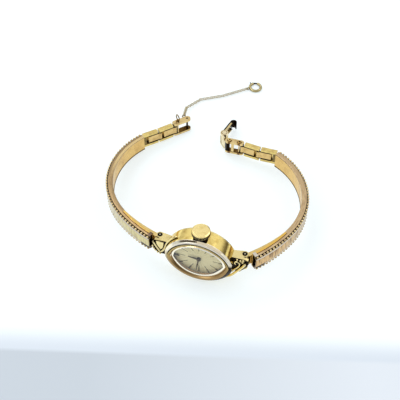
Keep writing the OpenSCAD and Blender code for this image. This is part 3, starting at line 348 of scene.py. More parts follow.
# worn plate: softer highlights, with browner clouds; the clips' and the hook's black marks are painted shade
linkGold = goldPlate("wornLinkPlate", "E6CC80", "A5844C", 0.2, 1.5, haze=0.5)
clipGold = goldPlate("sprungClipPlate", "E0BF80", "9C7440", 0.22, 1.2, haze=0.5, marks=clipEdgeShade)
beadGold = goldPlate("wornBeadEdge", "DEC694", "93704A", 0.2, 1.0, haze=0.6)
hookGold = goldPlate("hookPlate", "DCC48E", "8A744A", 0.2, 1.0, haze=0.5, marks=hookShade)
# tarnished plate: dull and greenish brown
chainGold = goldPlate("chainPlate", "B8A67A", "7C683E", 0.25, 1.0, haze=0.6, reach=0.12)
ringGold = goldPlate("tarnishedRingPlate", "B8A97C", "7C6B3E", 0.22, 1.2, haze=0.6)
tubeGold = goldPlate("tarnishedTubePlate", "8A764A", "4E3E22", 0.25, 1.0, haze=0.6)
eyeGold = goldPlate("tarnishedEyePlate", "8A6A2C", "4A3614", 0.22, 0.8, haze=0.7)
# satin rose gold, rubbed by the wrist: broad soft highlights
roseGold = goldPlate("satinRoseGold", "E8C27A", "B68A50", 0.27, 3.0, haze=0.5, scratches=0.2)
# blackened gold: nearly black with a faint sheen
darkGold = goldPlate("blackenedGold", "4A3A24", "15110C", 0.3, 1.0, haze=0.9)
# other metals have the same fine wear: cold bright steel, duller spring bars, brushed brass, grey batons
steel = goldPlate("polishedSteel", "B9BBBD", "8A8A8A", 0.2, 2.0)
barSteel = goldPlate("barSteel", "A9A188", "6E6650", 0.3, 1.0, marks=barEndShade)
brass = goldPlate("brushedMovementBrass", "C9A65C", "A88643", 0.3, 2.0)
batonMetal = goldPlate("burnishedBaton", "968C6C", "5E563E", 0.25, 1.0)


def bezelPlate():
    # a bright lip next to the crystal, its colour a painted highlight, and a duller facet outside it in
    # painted reflections, grey above and brown below
    material, tree, surface, output = newMaterial("facetedBezelPlate")
    x, y, z, out, low = caseFront(tree)
    above, below = caseZones["lip"]
    edge = addNode(tree, "ShaderNodeMapRange", {0: low, 1: 0.0, 2: 1.0, 3: above * mm, 4: below * mm})
    lip = addNode(tree, "ShaderNodeMath", {0: out, 1: edge}, operation="LESS_THAN")
    # a dark line between the two, above the dial only
    near, far = caseZones["line"]
    over = addNode(tree, "ShaderNodeMath", {0: out, 1: near * mm}, operation="GREATER_THAN")
    facet = addNode(tree, "ShaderNodeMath", {0: out, 1: far * mm}, operation="GREATER_THAN")
    strip = addNode(tree, "ShaderNodeMath", {0: over, 1: facet}, operation="SUBTRACT")
    line = addNode(tree, "ShaderNodeMath", {0: strip, 1: low}, operation="SUBTRACT")
    outer = layered(tree, caseZones["upper"], [(low, caseZones["lower"])])
    # painted reflection: the flat and the outer facet are paler above the dial and browner below; the
    # groove's black is painted shade
    colour = layered(tree, caseZones["flatUpper"], [
        (low, caseZones["flatLower"]), (facet, outer), (line, caseZones["dark"]),
        (paintedGrooveShade(tree, x, y, out), caseZones["paintedGrooveShade"]), (lip, caseZones["bright"])])
    tree.links.new(colour, surface.inputs["Base Color"])
    rough = addNode(tree, "ShaderNodeMapRange", {0: lip, 1: 0.0, 2: 1.0, 3: caseZones["facetRough"],
                                                 4: caseZones["lipRough"]})
    tree.links.new(rough.outputs[0], surface.inputs["Roughness"])
    rounded = addNode(tree, "ShaderNodeBevel", {"Radius": caseZones["edge"] * mm},
                      samples=wear["bevelSamples"])
    tree.links.new(rounded.outputs[0], surface.inputs["Normal"])
    surface.inputs["Metallic"].default_value = 1.0
    return material


# colours of the bands' zones, and how strongly the bark's cuts show; the tones set apart for left and right
# are painted light, set to how each band is lit, the dark ledge is painted shade under the beads, and end is
# a painted black shade near the case
bandColours = {
    "face": {"left": "D3C6AE", "right": "C0AC88"}, "faceNear": {"left": "D9CB98", "right": "DAB47E"},
    "cut": "86694A", "cutDepth": {"left": 0.35, "right": 0.9},
    "border": {"left": "D6CABC", "right": "DCCAB6"}, "borderLine": "7A684E",
    "ledge": "54402A", "ledgePale": "CFC3B6", "end": "1C140C", "inner": "5A4326",
    "wall": {"left": "A88E66", "right": "D6BA8E"}, "wallCut": {"left": "8A7256", "right": "9A7A5C"},
    "wallFar": {"left": "E2C68E", "right": "C4A880"},
    "leaf": {"left": "DDB765", "right": "E8BB5E"}, "leafLine": "5E3410",
    "cap": {"left": "6E5C4C", "right": "D2C8B8"},
}
# the zones of the band, in mm: each edge begins and is full at two distances from the middle of the outer
# face, and the last row holds lengths from the band's start
bandZones = {
    "middle": 4.42,
    "edges": {"gapShade": (1.15, 1.18), "line": (1.3, 1.33), "border": (1.4, 1.43), "face": (1.82, 1.85),
              "step": (2.15, 2.18), "ledge": (2.95, 2.98), "seam": (3.55, 3.58), "seamEnd": (3.75, 3.78),
              "wall": (4.4, 4.6)},
    "warm": (9.0, 24.0), "far": (26.0, 34.0), "leaf": 11.8, "cap": 0.9, "gapShade": 2.8,
}
# marks of the graver and the brush: spacing across and along them in mm, and which noise shows as a line
bandStrokes = {
    "bark": {"across": 0.5, "along": 3.5, "shows": (0.5, 0.62), "detail": 2.5},
    "brush": {"across": 0.12, "along": 2.5, "shows": (0.4, 0.65), "detail": 1.0, "share": 0.7},
    "farShare": 0.85, "strength": 0.5, "deep": 0.06, "edge": 0.06, "roughness": 0.26, "reach": 0.4,
}


def engravedBand(side):
    # bark engraving across the outer face, painted shade on the ledges under the beads, satin side walls
    material, tree, surface, output = newMaterial("barkEngraved" + side.capitalize())
    spot = addNode(tree, "ShaderNodeUVMap", uv_map="UVMap")
    along, around = addNode(tree, "ShaderNodeSeparateXYZ", {0: spot}).outputs[:2]
    middle = addNode(tree, "ShaderNodeMath", {0: around, 1: bandZones["middle"] * mm}, operation="SUBTRACT")
    off = addNode(tree, "ShaderNodeMath", {0: middle}, operation="ABSOLUTE").outputs[0]
    past = {}
    for name, (begun, full) in bandZones["edges"].items():
        past[name] = addNode(tree, "ShaderNodeMapRange", {0: off, 1: begun * mm, 2: full * mm,
                                                          3: 0.0, 4: 1.0})

    # bark strokes run right across the face, and brushed lines along the side walls
    bark, brush = bandStrokes["bark"], bandStrokes["brush"]
    across = addNode(tree, "ShaderNodeCombineXYZ", {
        0: addNode(tree, "ShaderNodeMath", {0: along, 1: 1 / (bark["across"] * mm)}, operation="MULTIPLY"),
        1: addNode(tree, "ShaderNodeMath", {0: around, 1: 1 / (bark["along"] * mm)}, operation="MULTIPLY")})
    cuts = addNode(tree, "ShaderNodeTexNoise", {"Vector": across, "Scale": 1.0, "Detail": bark["detail"]})
    brushed = addNode(tree, "ShaderNodeCombineXYZ", {
        0: addNode(tree, "ShaderNodeMath", {0: along, 1: 1 / (brush["along"] * mm)}, operation="MULTIPLY"),
        1: addNode(tree, "ShaderNodeMath", {0: around, 1: 1 / (brush["across"] * mm)}, operation="MULTIPLY")})
    lines = addNode(tree, "ShaderNodeTexNoise", {"Vector": brushed, "Scale": 1.0, "Detail": brush["detail"]})
    cut = addNode(tree, "ShaderNodeMapRange", {0: cuts, 1: bark["shows"][0], 2: bark["shows"][1],
                                               3: 0.0, 4: bandColours["cutDepth"][side]})
    rub = addNode(tree, "ShaderNodeMapRange", {0: lines, 1: brush["shows"][0], 2: brush["shows"][1],
                                               3: 0.0, 4: brush["share"]})

    # the gold is warmer near the case and greyer where the sleeve has rubbed it
    start, full = bandZones["warm"]
    rubbed = addNode(tree, "ShaderNodeMapRange", {0: along, 1: start * mm, 2: full * mm, 3: 0.0, 4: 1.0})
    # painted shade: a black strip near the case on the crown side, where the band meets the lug, which lies
    # past the middle of the left band's outline and before the middle of the right one's
    upward = addNode(tree, "ShaderNodeMath", {0: middle, 1: 0.0},
                     operation="GREATER_THAN" if side == "left" else "LESS_THAN")
    close = addNode(tree, "ShaderNodeMath", {0: along, 1: bandZones["gapShade"] * mm}, operation="LESS_THAN")
    crownSide = addNode(tree, "ShaderNodeMath", {0: close, 1: upward}, operation="MULTIPLY")
    under = addNode(tree, "ShaderNodeMath", {0: past["gapShade"], 1: past["face"]}, operation="SUBTRACT")
    gapShade = addNode(tree, "ShaderNodeMath", {0: crownSide, 1: under}, operation="MULTIPLY")
    # a plain rim runs along both borders of the engraving
    face = layered(tree, bandColours["faceNear"][side], [
        (rubbed, bandColours["face"][side]), (cut, bandColours["cut"]),
        (past["line"], bandColours["borderLine"]), (past["border"], bandColours["border"][side]),
        (gapShade, bandColours["end"])])

    # away from the case the inner half of the wall is as bright as the liner
    start, full = bandZones["far"]
    away = addNode(tree, "ShaderNodeMapRange", {0: along, 1: start * mm, 2: full * mm,
                                                3: 0.0, 4: bandStrokes["farShare"]})
    bright = addNode(tree, "ShaderNodeMath", {0: away, 1: past["seam"]}, operation="MULTIPLY")
    # near the case the wall is polished and a dark seam runs along it, where the hinge leaf lies inside
    near = addNode(tree, "ShaderNodeMath", {0: along, 1: bandZones["leaf"] * mm}, operation="LESS_THAN")
    leaf = addNode(tree, "ShaderNodeMath", {0: near, 1: past["seam"]}, operation="MULTIPLY")
    seam = addNode(tree, "ShaderNodeMath", {0: past["seam"], 1: past["seamEnd"]}, operation="SUBTRACT")
    leafLine = addNode(tree, "ShaderNodeMath", {0: near, 1: seam}, operation="MULTIPLY")
    cap = addNode(tree, "ShaderNodeMath", {0: along, 1: bandZones["cap"] * mm}, operation="LESS_THAN")
    wall = layered(tree, bandColours["wall"][side], [
        (rub, bandColours["wallCut"][side]), (bright, bandColours["wallFar"][side]),
        (leaf, bandColours["leaf"][side]), (leafLine, bandColours["leafLine"]),
        (cap, bandColours["cap"][side])])

    # painted shade: the ledge under the beads is dark, with a pale strip along the step
    step = layered(tree, bandColours["ledgePale"], [(past["step"], bandColours["ledge"])])
    colour = layered(tree, face, [(past["face"], step), (past["ledge"], wall),
                                  (past["wall"], bandColours["inner"])])
    # painted shade darkens the band's seams and corners
    tree.links.new(shadedInCorners(tree, colour, bandStrokes["reach"]), surface.inputs["Base Color"])
    height = layered(tree, cuts.outputs[0], [(past["face"], lines.outputs[0])])
    rounded = addNode(tree, "ShaderNodeBevel", {"Radius": bandStrokes["edge"] * mm},
                      samples=wear["bevelSamples"])
    bump = addNode(tree, "ShaderNodeBump", {"Height": height, "Strength": bandStrokes["strength"],
                                            "Distance": bandStrokes["deep"] * mm, "Normal": rounded})
    tree.links.new(bump.outputs[0], surface.inputs["Normal"])
    surface.inputs["Metallic"].default_value = 1.0
    surface.inputs["Roughness"].default_value = bandStrokes["roughness"]
    return material


# the dial's printed hour lines run in from the batons, between two shares of the way to the crystal's edge
dialPrint = {"from": 0.5, "to": 0.78, "wide": 0.11, "every": 30.0, "ink": "8A8264",
             "pale": "FFF8DC", "dark": "E6DAB0", "rays": 12.0, "raysShow": (0.35, 0.65), "roughness": 0.4}


def dialLacquer():
    # silvered lacquer over a sunburst brushed brass blank: soft rays that run out from the centre
    material, tree, surface, output = newMaterial("silveredDialLacquer")
    x, y, z = coordsIn(tree, caseFace())
    around = addNode(tree, "ShaderNodeMath", {0: y, 1: x}, operation="ARCTAN2")
    ray = addNode(tree, "ShaderNodeCombineXYZ", {0: around})
    rays = addNode(tree, "ShaderNodeTexNoise", {"Vector": ray, "Scale": dialPrint["rays"], "Detail": 4.0})
    low, high = dialPrint["raysShow"]
    shade = addNode(tree, "ShaderNodeMapRange", {0: rays, 1: low, 2: high, 3: 0.0, 4: 1.0})
    # distance from the nearest hour line, in metres
    halfHour = math.radians(dialPrint["every"] / 2)
    turnOff = addNode(tree, "ShaderNodeMath", {0: around, 1: halfHour, 2: -halfHour}, operation="WRAP")
    sine = addNode(tree, "ShaderNodeMath", {0: turnOff}, operation="SINE")
    far = awayFrom(tree, x, y, (0.0, 0.0))
    sideways = addNode(tree, "ShaderNodeMath", {0: sine, 1: far}, operation="MULTIPLY")
    gap = addNode(tree, "ShaderNodeMath", {0: sideways}, operation="ABSOLUTE")
    thin = addNode(tree, "ShaderNodeMath", {0: gap, 1: dialPrint["wide"] * mm}, operation="LESS_THAN")
    a, b = caseZones["crystal"]
    share = addNode(tree, "ShaderNodeCombineXYZ", {
        0: addNode(tree, "ShaderNodeMath", {0: x, 1: 1 / (a * mm)}, operation="MULTIPLY"),
        1: addNode(tree, "ShaderNodeMath", {0: y, 1: 1 / (b * mm)}, operation="MULTIPLY")})
    out = addNode(tree, "ShaderNodeVectorMath", {0: share}, operation="LENGTH").outputs["Value"]
    begun = addNode(tree, "ShaderNodeMath", {0: out, 1: dialPrint["from"]}, operation="GREATER_THAN")
    ended = addNode(tree, "ShaderNodeMath", {0: out, 1: dialPrint["to"]}, operation="LESS_THAN")
    inside = addNode(tree, "ShaderNodeMath", {0: begun, 1: ended}, operation="MULTIPLY")
    printed = addNode(tree, "ShaderNodeMath", {0: inside, 1: thin}, operation="MULTIPLY")
    colour = layered(tree, dialPrint["dark"], [(shade, dialPrint["pale"]), (printed, dialPrint["ink"])])
    tree.links.new(colour, surface.inputs["Base Color"])
    surface.inputs["Metallic"].default_value = 0.0
    surface.inputs["Roughness"].default_value = dialPrint["roughness"]
    return material


# a clear dome with a little gloss, more towards its edge
crystalLook = {"clear": "FDFCF6", "gloss": "FFFFFF", "roughness": 0.06, "ringRough": 0.16, "blend": 0.25,
               "glossShare": (0.03, 0.25)}


def crystalAcrylic():
    # moulded acrylic dome: nearly clear, with a faint gloss, and a painted highlight inside its edge: an
    # opaque bright metal ring
    material, tree, surface, output = newMaterial("domedAcrylic")
    x, y, z, out, low = caseFront(tree)
    above, below = caseZones["ringInside"]
    edge = addNode(tree, "ShaderNodeMapRange", {0: low, 1: 0.0, 2: 1.0, 3: -above * mm, 4: -below * mm})
    ring = addNode(tree, "ShaderNodeMath", {0: out, 1: edge}, operation="GREATER_THAN")
    # painted reflection: below the dial the outer part of the ring takes the bezel's brown lower tone
    above, below = caseZones["ringOutside"]
    limit = addNode(tree, "ShaderNodeMapRange", {0: low, 1: 0.0, 2: 1.0, 3: -above * mm, 4: -below * mm})
    seat = addNode(tree, "ShaderNodeMath", {0: out, 1: limit}, operation="GREATER_THAN")
    tree.links.new(layered(tree, caseZones["bright"], [(seat, caseZones["flatLower"])]),
                   surface.inputs["Base Color"])
    surface.inputs["Metallic"].default_value = 1.0
    surface.inputs["Roughness"].default_value = crystalLook["ringRough"]
    clear = addNode(tree, "ShaderNodeBsdfTransparent", {"Color": srgb(crystalLook["clear"])})
    gloss = addNode(tree, "ShaderNodeBsdfGlossy", {"Color": srgb(crystalLook["gloss"]),
                                                   "Roughness": crystalLook["roughness"]})
    facing = addNode(tree, "ShaderNodeLayerWeight", {"Blend": crystalLook["blend"]})
    least, most = crystalLook["glossShare"]
    amount = addNode(tree, "ShaderNodeMapRange", {0: facing.outputs["Facing"], 1: 0.0, 2: 1.0,
                                                  3: least, 4: most})
    # only the outer face of the dome is glossy
    inner = addNode(tree, "ShaderNodeNewGeometry").outputs["Backfacing"]
    outer = addNode(tree, "ShaderNodeMath", {0: 1.0, 1: inner}, operation="SUBTRACT")
    share = addNode(tree, "ShaderNodeMath", {0: amount, 1: outer}, operation="MULTIPLY")
    dome = addNode(tree, "ShaderNodeMixShader", {0: share, 1: clear, 2: gloss})
    ringed = addNode(tree, "ShaderNodeMixShader", {0: ring, 1: dome, 2: surface})
    tree.links.new(ringed.outputs[0], output.inputs["Surface"])
    return material


bezelFinish = bezelPlate()
bandFinish = {side: engravedBand(side) for side in ("left", "right")}
dialFinish = dialLacquer()
crystalFinish = crystalAcrylic()
print("finishes made")

finishes = {
    caseGold: ["case_middle", "pendant_tube"],
    crownGold: ["crown"],
    polishedGold: ["clasp_eyes", "left_leaf", "right_leaf"],
    eyeGold: ["receiver_eyes"],
    claspGold: ["clasp_frame", "receiver"],
    coverGold: ["clasp_cover"],
    bezelFinish: ["bezel"],
    lugGold: ["left_lug", "right_lug"],
    paleGold: ["case_back", "heart_plate", "left_ribbon", "right_ribbon", "scroll", "left_lug_beads",
               "right_lug_beads"],
    linkGold: ["left_link_1", "left_link_2", "right_link_1", "right_link_2"],
    ringGold: ["spring_ring"],
    clipGold: ["left_clip_1", "left_clip_2", "right_clip_1", "right_clip_2"],
    roseGold: ["left_liner", "right_liner"],
    tubeGold: ["left_end_tube", "right_end_tube"],
    hookGold: ["clasp_hook"],
    batonMetal: ["hour_batons"],
    darkGold: ["minute_hand", "hour_hand", "catch_bar", "ring_trigger"],
    steel: ["winding_stem", "balance_wheel", "mainspring_barrel"],
    barSteel: ["lug_bars"],
    brass: ["movement_plate", "barrel_bridge", "train_bridge", "balance_cock", "centre_wheel", "third_wheel"],
    dialFinish: ["dial"],
    crystalFinish: ["crystal"],
}
for finish, names in finishes.items():
    for name in names:
        nodes[name].data.materials.clear()
        nodes[name].data.materials.append(finish)

# the chain's rings are drawn with a slightly finer wire, so that the light shows through them; sizes in mm
chainLinks = {
    "finer": 0.045, "join": 0.0005,
    "bodies": {"chain_1": "chain_a", "chain_2": "chain_b", "chain_3": "chain_c", "chain_4": "chain_d"},
}
for name, body in chainLinks["bodies"].items():
    rings = bmesh.new()
    rings.from_mesh(nodes[name].data)
    bmesh.ops.remove_doubles(rings, verts=rings.verts, dist=chainLinks["join"] * mm)
    rings.normal_update()
    for vert in rings.verts:
        vert.co -= vert.normal * chainLinks["finer"] * mm
    mesh = bpy.data.meshes.new(name.replace("_", "Run"))
    rings.to_mesh(mesh)
    rings.free()
    mesh.materials.append(chainGold)
    mesh.polygons.foreach_set("use_smooth", [True] * len(mesh.polygons))
    piece = bpy.data.objects.new(mesh.name, mesh)
    bpy.context.scene.collection.objects.link(piece)
    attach(piece, body)
    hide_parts(name)
print("chain made")

# the two bands are alike, one the mirror image of the other: two bends of a folded sheet, in mm and degrees
band = {
    "headings": {"left": 143.5, "right": 30.0}, "lugReach": 11.5, "lugBack": 1.5,
    "start": 1.7, "out": 1.65, "bends": (38.5, 22.4), "sweeps": (19.5, 85.0),
    "width": 5.0, "thick": 2.0, "wall": 0.35, "stepOut": 0.55, "stepHigh": 0.62,
    "round": 0.09, "roundSteps": 3, "ringEvery": 0.4, "ends": (0.12, 0.0),
}


def bendAt(index):
    # where one of the bends begins, and its heading
    x, y, heading = band["start"], band["out"], 0.0
    for radius, sweep in zip(band["bends"][:index], band["sweeps"][:index]):
        after = heading - sweep
        x += radius * (math.sin(math.radians(heading)) - math.sin(math.radians(after)))
        y -= radius * (math.cos(math.radians(heading)) - math.cos(math.radians(after)))
        heading = after
    return x, y, heading


def bandSpot(distance):
    # place and heading at a distance along the middle line
    index = 0
    for radius, sweep in zip(band["bends"][:-1], band["sweeps"]):
        long = math.radians(radius * sweep)
        if distance > long:
            distance -= long
            index += 1
    x, y, heading = bendAt(index)
    radius = band["bends"][index]
    after = heading - math.degrees(distance / radius)
    return (x + radius * (math.sin(math.radians(heading)) - math.sin(math.radians(after))),
            y - radius * (math.cos(math.radians(heading)) - math.cos(math.radians(after))), after)


bandLong = sum(math.radians(r * s) for r, s in zip(band["bends"], band["sweeps"]))


def bandPlace(side):
    # where a band's own frame lies in the plan: at its spring bar, the right one mirrored
    sign = -1 if side == "left" else 1
    turn = math.radians(rest["caseTurn"])
    x = rest["casePlace"][0] + sign * band["lugReach"] * math.cos(turn) - band["lugBack"] * math.sin(turn)
    y = rest["casePlace"][1] + sign * band["lugReach"] * math.sin(turn) + band["lugBack"] * math.cos(turn)
    flip = Matrix.Scale(-1, 4, (0, 1, 0)) if side == "right" else Matrix.Identity(4)
    return Matrix.Translation((x * mm, y * mm, 0)) @ turned(band["headings"][side]) @ flip


def bandRoute(side, outward, height, ends):
    # the band's middle line moved outwards and up, cut back at both ends
    place = bandPlace(side)
    count = max(2, round(bandLong / band["ringEvery"]))
    route = []
    for i in range(count + 1):
        x, y, heading = bandSpot(ends[0] + (bandLong - ends[0] - ends[1]) * i / count)
        a = math.radians(heading)
        route.append(place @ Vector(((x - outward * math.sin(a)) * mm, (y + outward * math.cos(a)) * mm,
                                     height * mm)))
    return route


def polyCurve(name, runs, closed=False, tilt=0.0):
    # one curve with a run of straight pieces for each list of points
    data = bpy.data.curves.new(name, "CURVE")
    data.dimensions = "3D"
    for run in runs:
        spline = data.splines.new("POLY")
        spline.points.add(len(run) - 1)
        for point, at in zip(spline.points, run):
            point.co = (*at, 1.0)
            point.tilt = tilt
        spline.use_cyclic_u = closed
    piece = bpy.data.objects.new(name, data)
    bpy.context.scene.collection.objects.link(piece)
    return piece


def newTree(name, inputs):
    tree = bpy.data.node_groups.new(name, "GeometryNodeTree")
    tree.interface.new_socket("Geometry", in_out="INPUT", socket_type="NodeSocketGeometry")
    for label, kind in inputs:
        tree.interface.new_socket(label, in_out="INPUT", socket_type=kind)
    tree.interface.new_socket("Geometry", in_out="OUTPUT", socket_type="NodeSocketGeometry")
    return tree, addNode(tree, "NodeGroupInput"), addNode(tree, "NodeGroupOutput")


def grown(source, tree, values, name, body, replaced):
    # runs a tree on a curve drawn in the flat plan, keeps a plain mesh and puts it on its body
    modifier = source.modifiers.new("grow", "NODES")
    modifier.node_group = tree
    for item in tree.interface.items_tree:
        if item.in_out == "INPUT" and item.name in values:
            modifier[item.identifier] = values[item.name]
    source.update_tag()
    shown = source.evaluated_get(bpy.context.evaluated_depsgraph_get())
    mesh = bpy.data.meshes.new_from_object(shown, depsgraph=bpy.context.evaluated_depsgraph_get())
    source.modifiers.clear()
    bpy.data.objects.remove(source)
    mesh.transform(plan())
    piece = bpy.data.objects.new(name, mesh)
    mesh.name = name
    bpy.context.scene.collection.objects.link(piece)
    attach(piece, body)
    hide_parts(*replaced)


def sweepTree():
    # a closed profile follows a curve, and keeps how far along and how far round each corner is
    tree, given, made = newTree("sweepProfile", [("Profile", "NodeSocketObject"),
                                                 ("Finish", "NodeSocketMaterial")])
    along = addNode(tree, "GeometryNodeSplineParameter")
    path = addNode(tree, "GeometryNodeCaptureAttribute", {"Geometry": given.outputs["Geometry"]})
    path.capture_items.new("FLOAT", "along")
    tree.links.new(along.outputs["Length"], path.inputs["along"])
    profile = addNode(tree, "GeometryNodeObjectInfo", {"Object": given.outputs["Profile"]})
    ring = addNode(tree, "GeometryNodeCaptureAttribute", {"Geometry": profile.outputs["Geometry"]})
    ring.capture_items.new("FLOAT", "around")
    tree.links.new(along.outputs["Length"], ring.inputs["around"])
    sweep = addNode(tree, "GeometryNodeCurveToMesh", {"Curve": path.outputs["Geometry"],
                                                      "Profile Curve": ring.outputs["Geometry"],
                                                      "Fill Caps": True})
    # the swept faces point inwards, so they are turned outwards
    turnedOut = addNode(tree, "GeometryNodeFlipFaces", {"Mesh": sweep.outputs[0]})
    pair = addNode(tree, "ShaderNodeCombineXYZ", {"X": path.outputs["along"], "Y": ring.outputs["around"]})
    stored = addNode(tree, "GeometryNodeStoreNamedAttribute", {"Geometry": turnedOut.outputs[0],
                                                               "Name": "UVMap", "Value": pair.outputs[0]},
                     data_type="FLOAT2", domain="CORNER")
    smooth = addNode(tree, "GeometryNodeSetShadeSmooth", {"Geometry": stored.outputs[0]})
    solid = addNode(tree, "GeometryNodeRealizeInstances", {"Geometry": smooth.outputs[0]})
    dressed = addNode(tree, "GeometryNodeSetMaterial", {"Geometry": solid.outputs[0],
                                                        "Material": given.outputs["Finish"]})
    tree.links.new(dressed.outputs[0], made.inputs["Geometry"])
    return tree


# beads along both edges of a band, in mm: flattened balls, in rows that stop short of the band's ends
beading = {"pitch": 1.05, "radius": 0.32, "long": 0.40, "gap": 0.02, "segments": 14, "rings": 9,
           "ends": (0.625, 0.5)}


def beadTree():
    # beads sit at an even pitch along a curve, each a flattened ball turned with the curve
    tree, given, made = newTree("beadRow", [("Pitch", "NodeSocketFloat"), ("Radius", "NodeSocketFloat"),
                                            ("Long", "NodeSocketFloat"), ("Segments", "NodeSocketInt"),
                                            ("Rings", "NodeSocketInt"), ("Finish", "NodeSocketMaterial")])
    spots = addNode(tree, "GeometryNodeCurveToPoints", {"Curve": given.outputs["Geometry"],
                                                        "Length": given.outputs["Pitch"]}, mode="LENGTH")
    ball = addNode(tree, "GeometryNodeMeshUVSphere", {"Segments": given.outputs["Segments"],
                                                      "Rings": given.outputs["Rings"], "Radius": 1.0})
    size = addNode(tree, "ShaderNodeCombineXYZ", {"X": given.outputs["Radius"], "Y": given.outputs["Radius"],
                                                  "Z": given.outputs["Long"]})
    copies = addNode(tree, "GeometryNodeInstanceOnPoints", {"Points": spots.outputs["Points"],
                                                            "Instance": ball.outputs["Mesh"],
                                                            "Rotation": spots.outputs["Rotation"],
                                                            "Scale": size.outputs[0]})
    solid = addNode(tree, "GeometryNodeRealizeInstances", {"Geometry": copies.outputs[0]})
    smooth = addNode(tree, "GeometryNodeSetShadeSmooth", {"Geometry": solid.outputs[0]})
    dressed = addNode(tree, "GeometryNodeSetMaterial", {"Geometry": smooth.outputs[0],
                                                        "Material": given.outputs["Finish"]})
    tree.links.new(dressed.outputs[0], made.inputs["Geometry"])
    return tree


sweepProfile = sweepTree()
beadRow = beadTree()


def roundedProfile(name, corners, radius, steps):
    # outline of a section with each corner turned into a small arc of at most 0.4 of its shorter side
    points = []
    count = len(corners)
    for i in range(count):
        corner = Vector(corners[i])
        before = Vector(corners[i - 1]) - corner
        after = Vector(corners[(i + 1) % count]) - corner
        cut = min(radius, before.length * 0.4, after.length * 0.4)
        start = corner + before.normalized() * cut
        end = corner + after.normalized() * cut
        for k in range(steps + 1):
            t = k / steps
            points.append((1 - t) ** 2 * start + 2 * t * (1 - t) * corner + t * t * end)
    return polyCurve(name, [[(p[0] * mm, p[1] * mm, 0.0) for p in points]], closed=True)


def shellCorners():
    # section of the band: a folded sheet, open on the wrist side, with a ledge for the beads
    t, w, s = band["thick"] / 2, band["width"] / 2, band["wall"]
    ledgeOut, ledgeHigh = t - band["stepOut"], w - band["stepHigh"]
    outer = [(-t, w), (ledgeOut, w), (ledgeOut, ledgeHigh), (t, ledgeHigh)]
    inner = [(-t, w - s), (ledgeOut - s, w - s), (ledgeOut - s, ledgeHigh - s), (t - s, ledgeHigh - s)]
    half = outer + [(x, -y) for x, y in reversed(outer)]
    return half + [(x, -y) for x, y in inner] + list(reversed(inner))


for side in ("left", "right"):
    profile = roundedProfile(side + "Profile", shellCorners(), band["round"], band["roundSteps"])
    # the section faces the right of the route, so on the left band it is turned over
    route = polyCurve(side + "ShellRoute", [bandRoute(side, 0.0, 0.0, band["ends"])],
                      tilt=math.pi if side == "left" else 0.0)
    grown(route, sweepProfile, {"Profile": profile, "Finish": bandFinish[side]},
          side + "BandShell", side + "_band", [side + "_shell"])
    bpy.data.objects.remove(profile)
    outward = band["thick"] / 2 - band["stepOut"] + beading["radius"] + beading["gap"]
    high = band["width"] / 2 - band["stepHigh"] + beading["radius"] + beading["gap"]
    rows = polyCurve(side + "BeadRoute",
                     [bandRoute(side, outward, z, beading["ends"]) for z in (high, -high)])
    grown(rows, beadRow, {"Pitch": beading["pitch"] * mm, "Radius": beading["radius"] * mm,
                          "Long": beading["long"] * mm, "Segments": beading["segments"],
                          "Rings": beading["rings"], "Finish": beadGold},
          side + "BeadRows", side + "_band", [side + "_beading"])
print("bands made")

# table, light and camera, in metres

tabletop = {
    "edgeBack": -0.0495, "edgeFront": -0.0585, "edgeLine": 0.001, "slant": 0.038, "across": (-0.03, 0.04),
    "size": 2.0, "lift": 0.5, "strength": 1.22, "roughness": 0.6,
    "white": "F6FDFF", "edge": "DFE8F2", "front": "CBD4DD", "frontRight": "E6EDF5",
}


def paleLacquer():
    # pale lacquered board: white under the watch; in front of its rounded edge, where the board turns down
    # out of the light, painted shade in blue grey, lighter to the right
    material, tree, surface, output = newMaterial("paleTable")
    place = addNode(tree, "ShaderNodeTexCoord").outputs["Object"]
    x, y, z = addNode(tree, "ShaderNodeSeparateXYZ", {0: place}).outputs
    slant = addNode(tree, "ShaderNodeMath", {0: x, 1: tabletop["slant"], 2: y}, operation="MULTIPLY_ADD")
    low, high = tabletop["across"]
    across = addNode(tree, "ShaderNodeMapRange", {0: x, 1: low, 2: high, 3: 0.0, 4: 1.0})
    front, back = tabletop["edgeFront"], tabletop["edgeBack"]
    line = front + tabletop["edgeLine"]
    first = addNode(tree, "ShaderNodeMapRange", {0: slant, 1: front, 2: line, 3: 0.0, 4: 1.0})
    second = addNode(tree, "ShaderNodeMapRange", {0: slant, 1: line, 2: back, 3: 0.0, 4: 1.0},
                     interpolation_type="SMOOTHSTEP")
    # painted shade: blue grey in front of the edge, lighter to the right
    colour = layered(tree, tabletop["front"], [(across, tabletop["frontRight"]), (first, tabletop["edge"]),
                                               (second, tabletop["white"])])
    tree.links.new(colour, surface.inputs["Base Color"])
    surface.inputs["Roughness"].default_value = tabletop["roughness"]
    # what the eye and the metal see of it is lifted, to white only behind the edge
    strength = addNode(tree, "ShaderNodeMapRange", {0: second, 1: 0.0, 2: 1.0,
                                                    3: 1.0, 4: tabletop["strength"]})
    lift = addNode(tree, "ShaderNodeEmission", {"Color": colour, "Strength": strength})
    path = addNode(tree, "ShaderNodeLightPath").outputs
    seen = addNode(tree, "ShaderNodeMath", {0: path["Is Camera Ray"], 1: path["Is Glossy Ray"]},
                   operation="MAXIMUM")
    seen = addNode(tree, "ShaderNodeMath", {0: seen, 1: path["Is Transmission Ray"]}, operation="MAXIMUM")
    share = addNode(tree, "ShaderNodeMath", {0: seen, 1: tabletop["lift"]}, operation="MULTIPLY")
    mix = addNode(tree, "ShaderNodeMixShader", {0: share, 1: surface, 2: lift})
    tree.links.new(mix.outputs[0], output.inputs["Surface"])
    return material


half = tabletop["size"] / 2
board = bpy.data.meshes.new("tableTop")
corners = [(-half, -half, 0), (half, -half, 0), (half, half, 0), (-half, half, 0)]
board.from_pydata(corners, [], [(0, 1, 2, 3)])
board.materials.append(paleLacquer())
table = bpy.data.objects.new("tableTop", board)
bpy.context.scene.collection.objects.link(table)

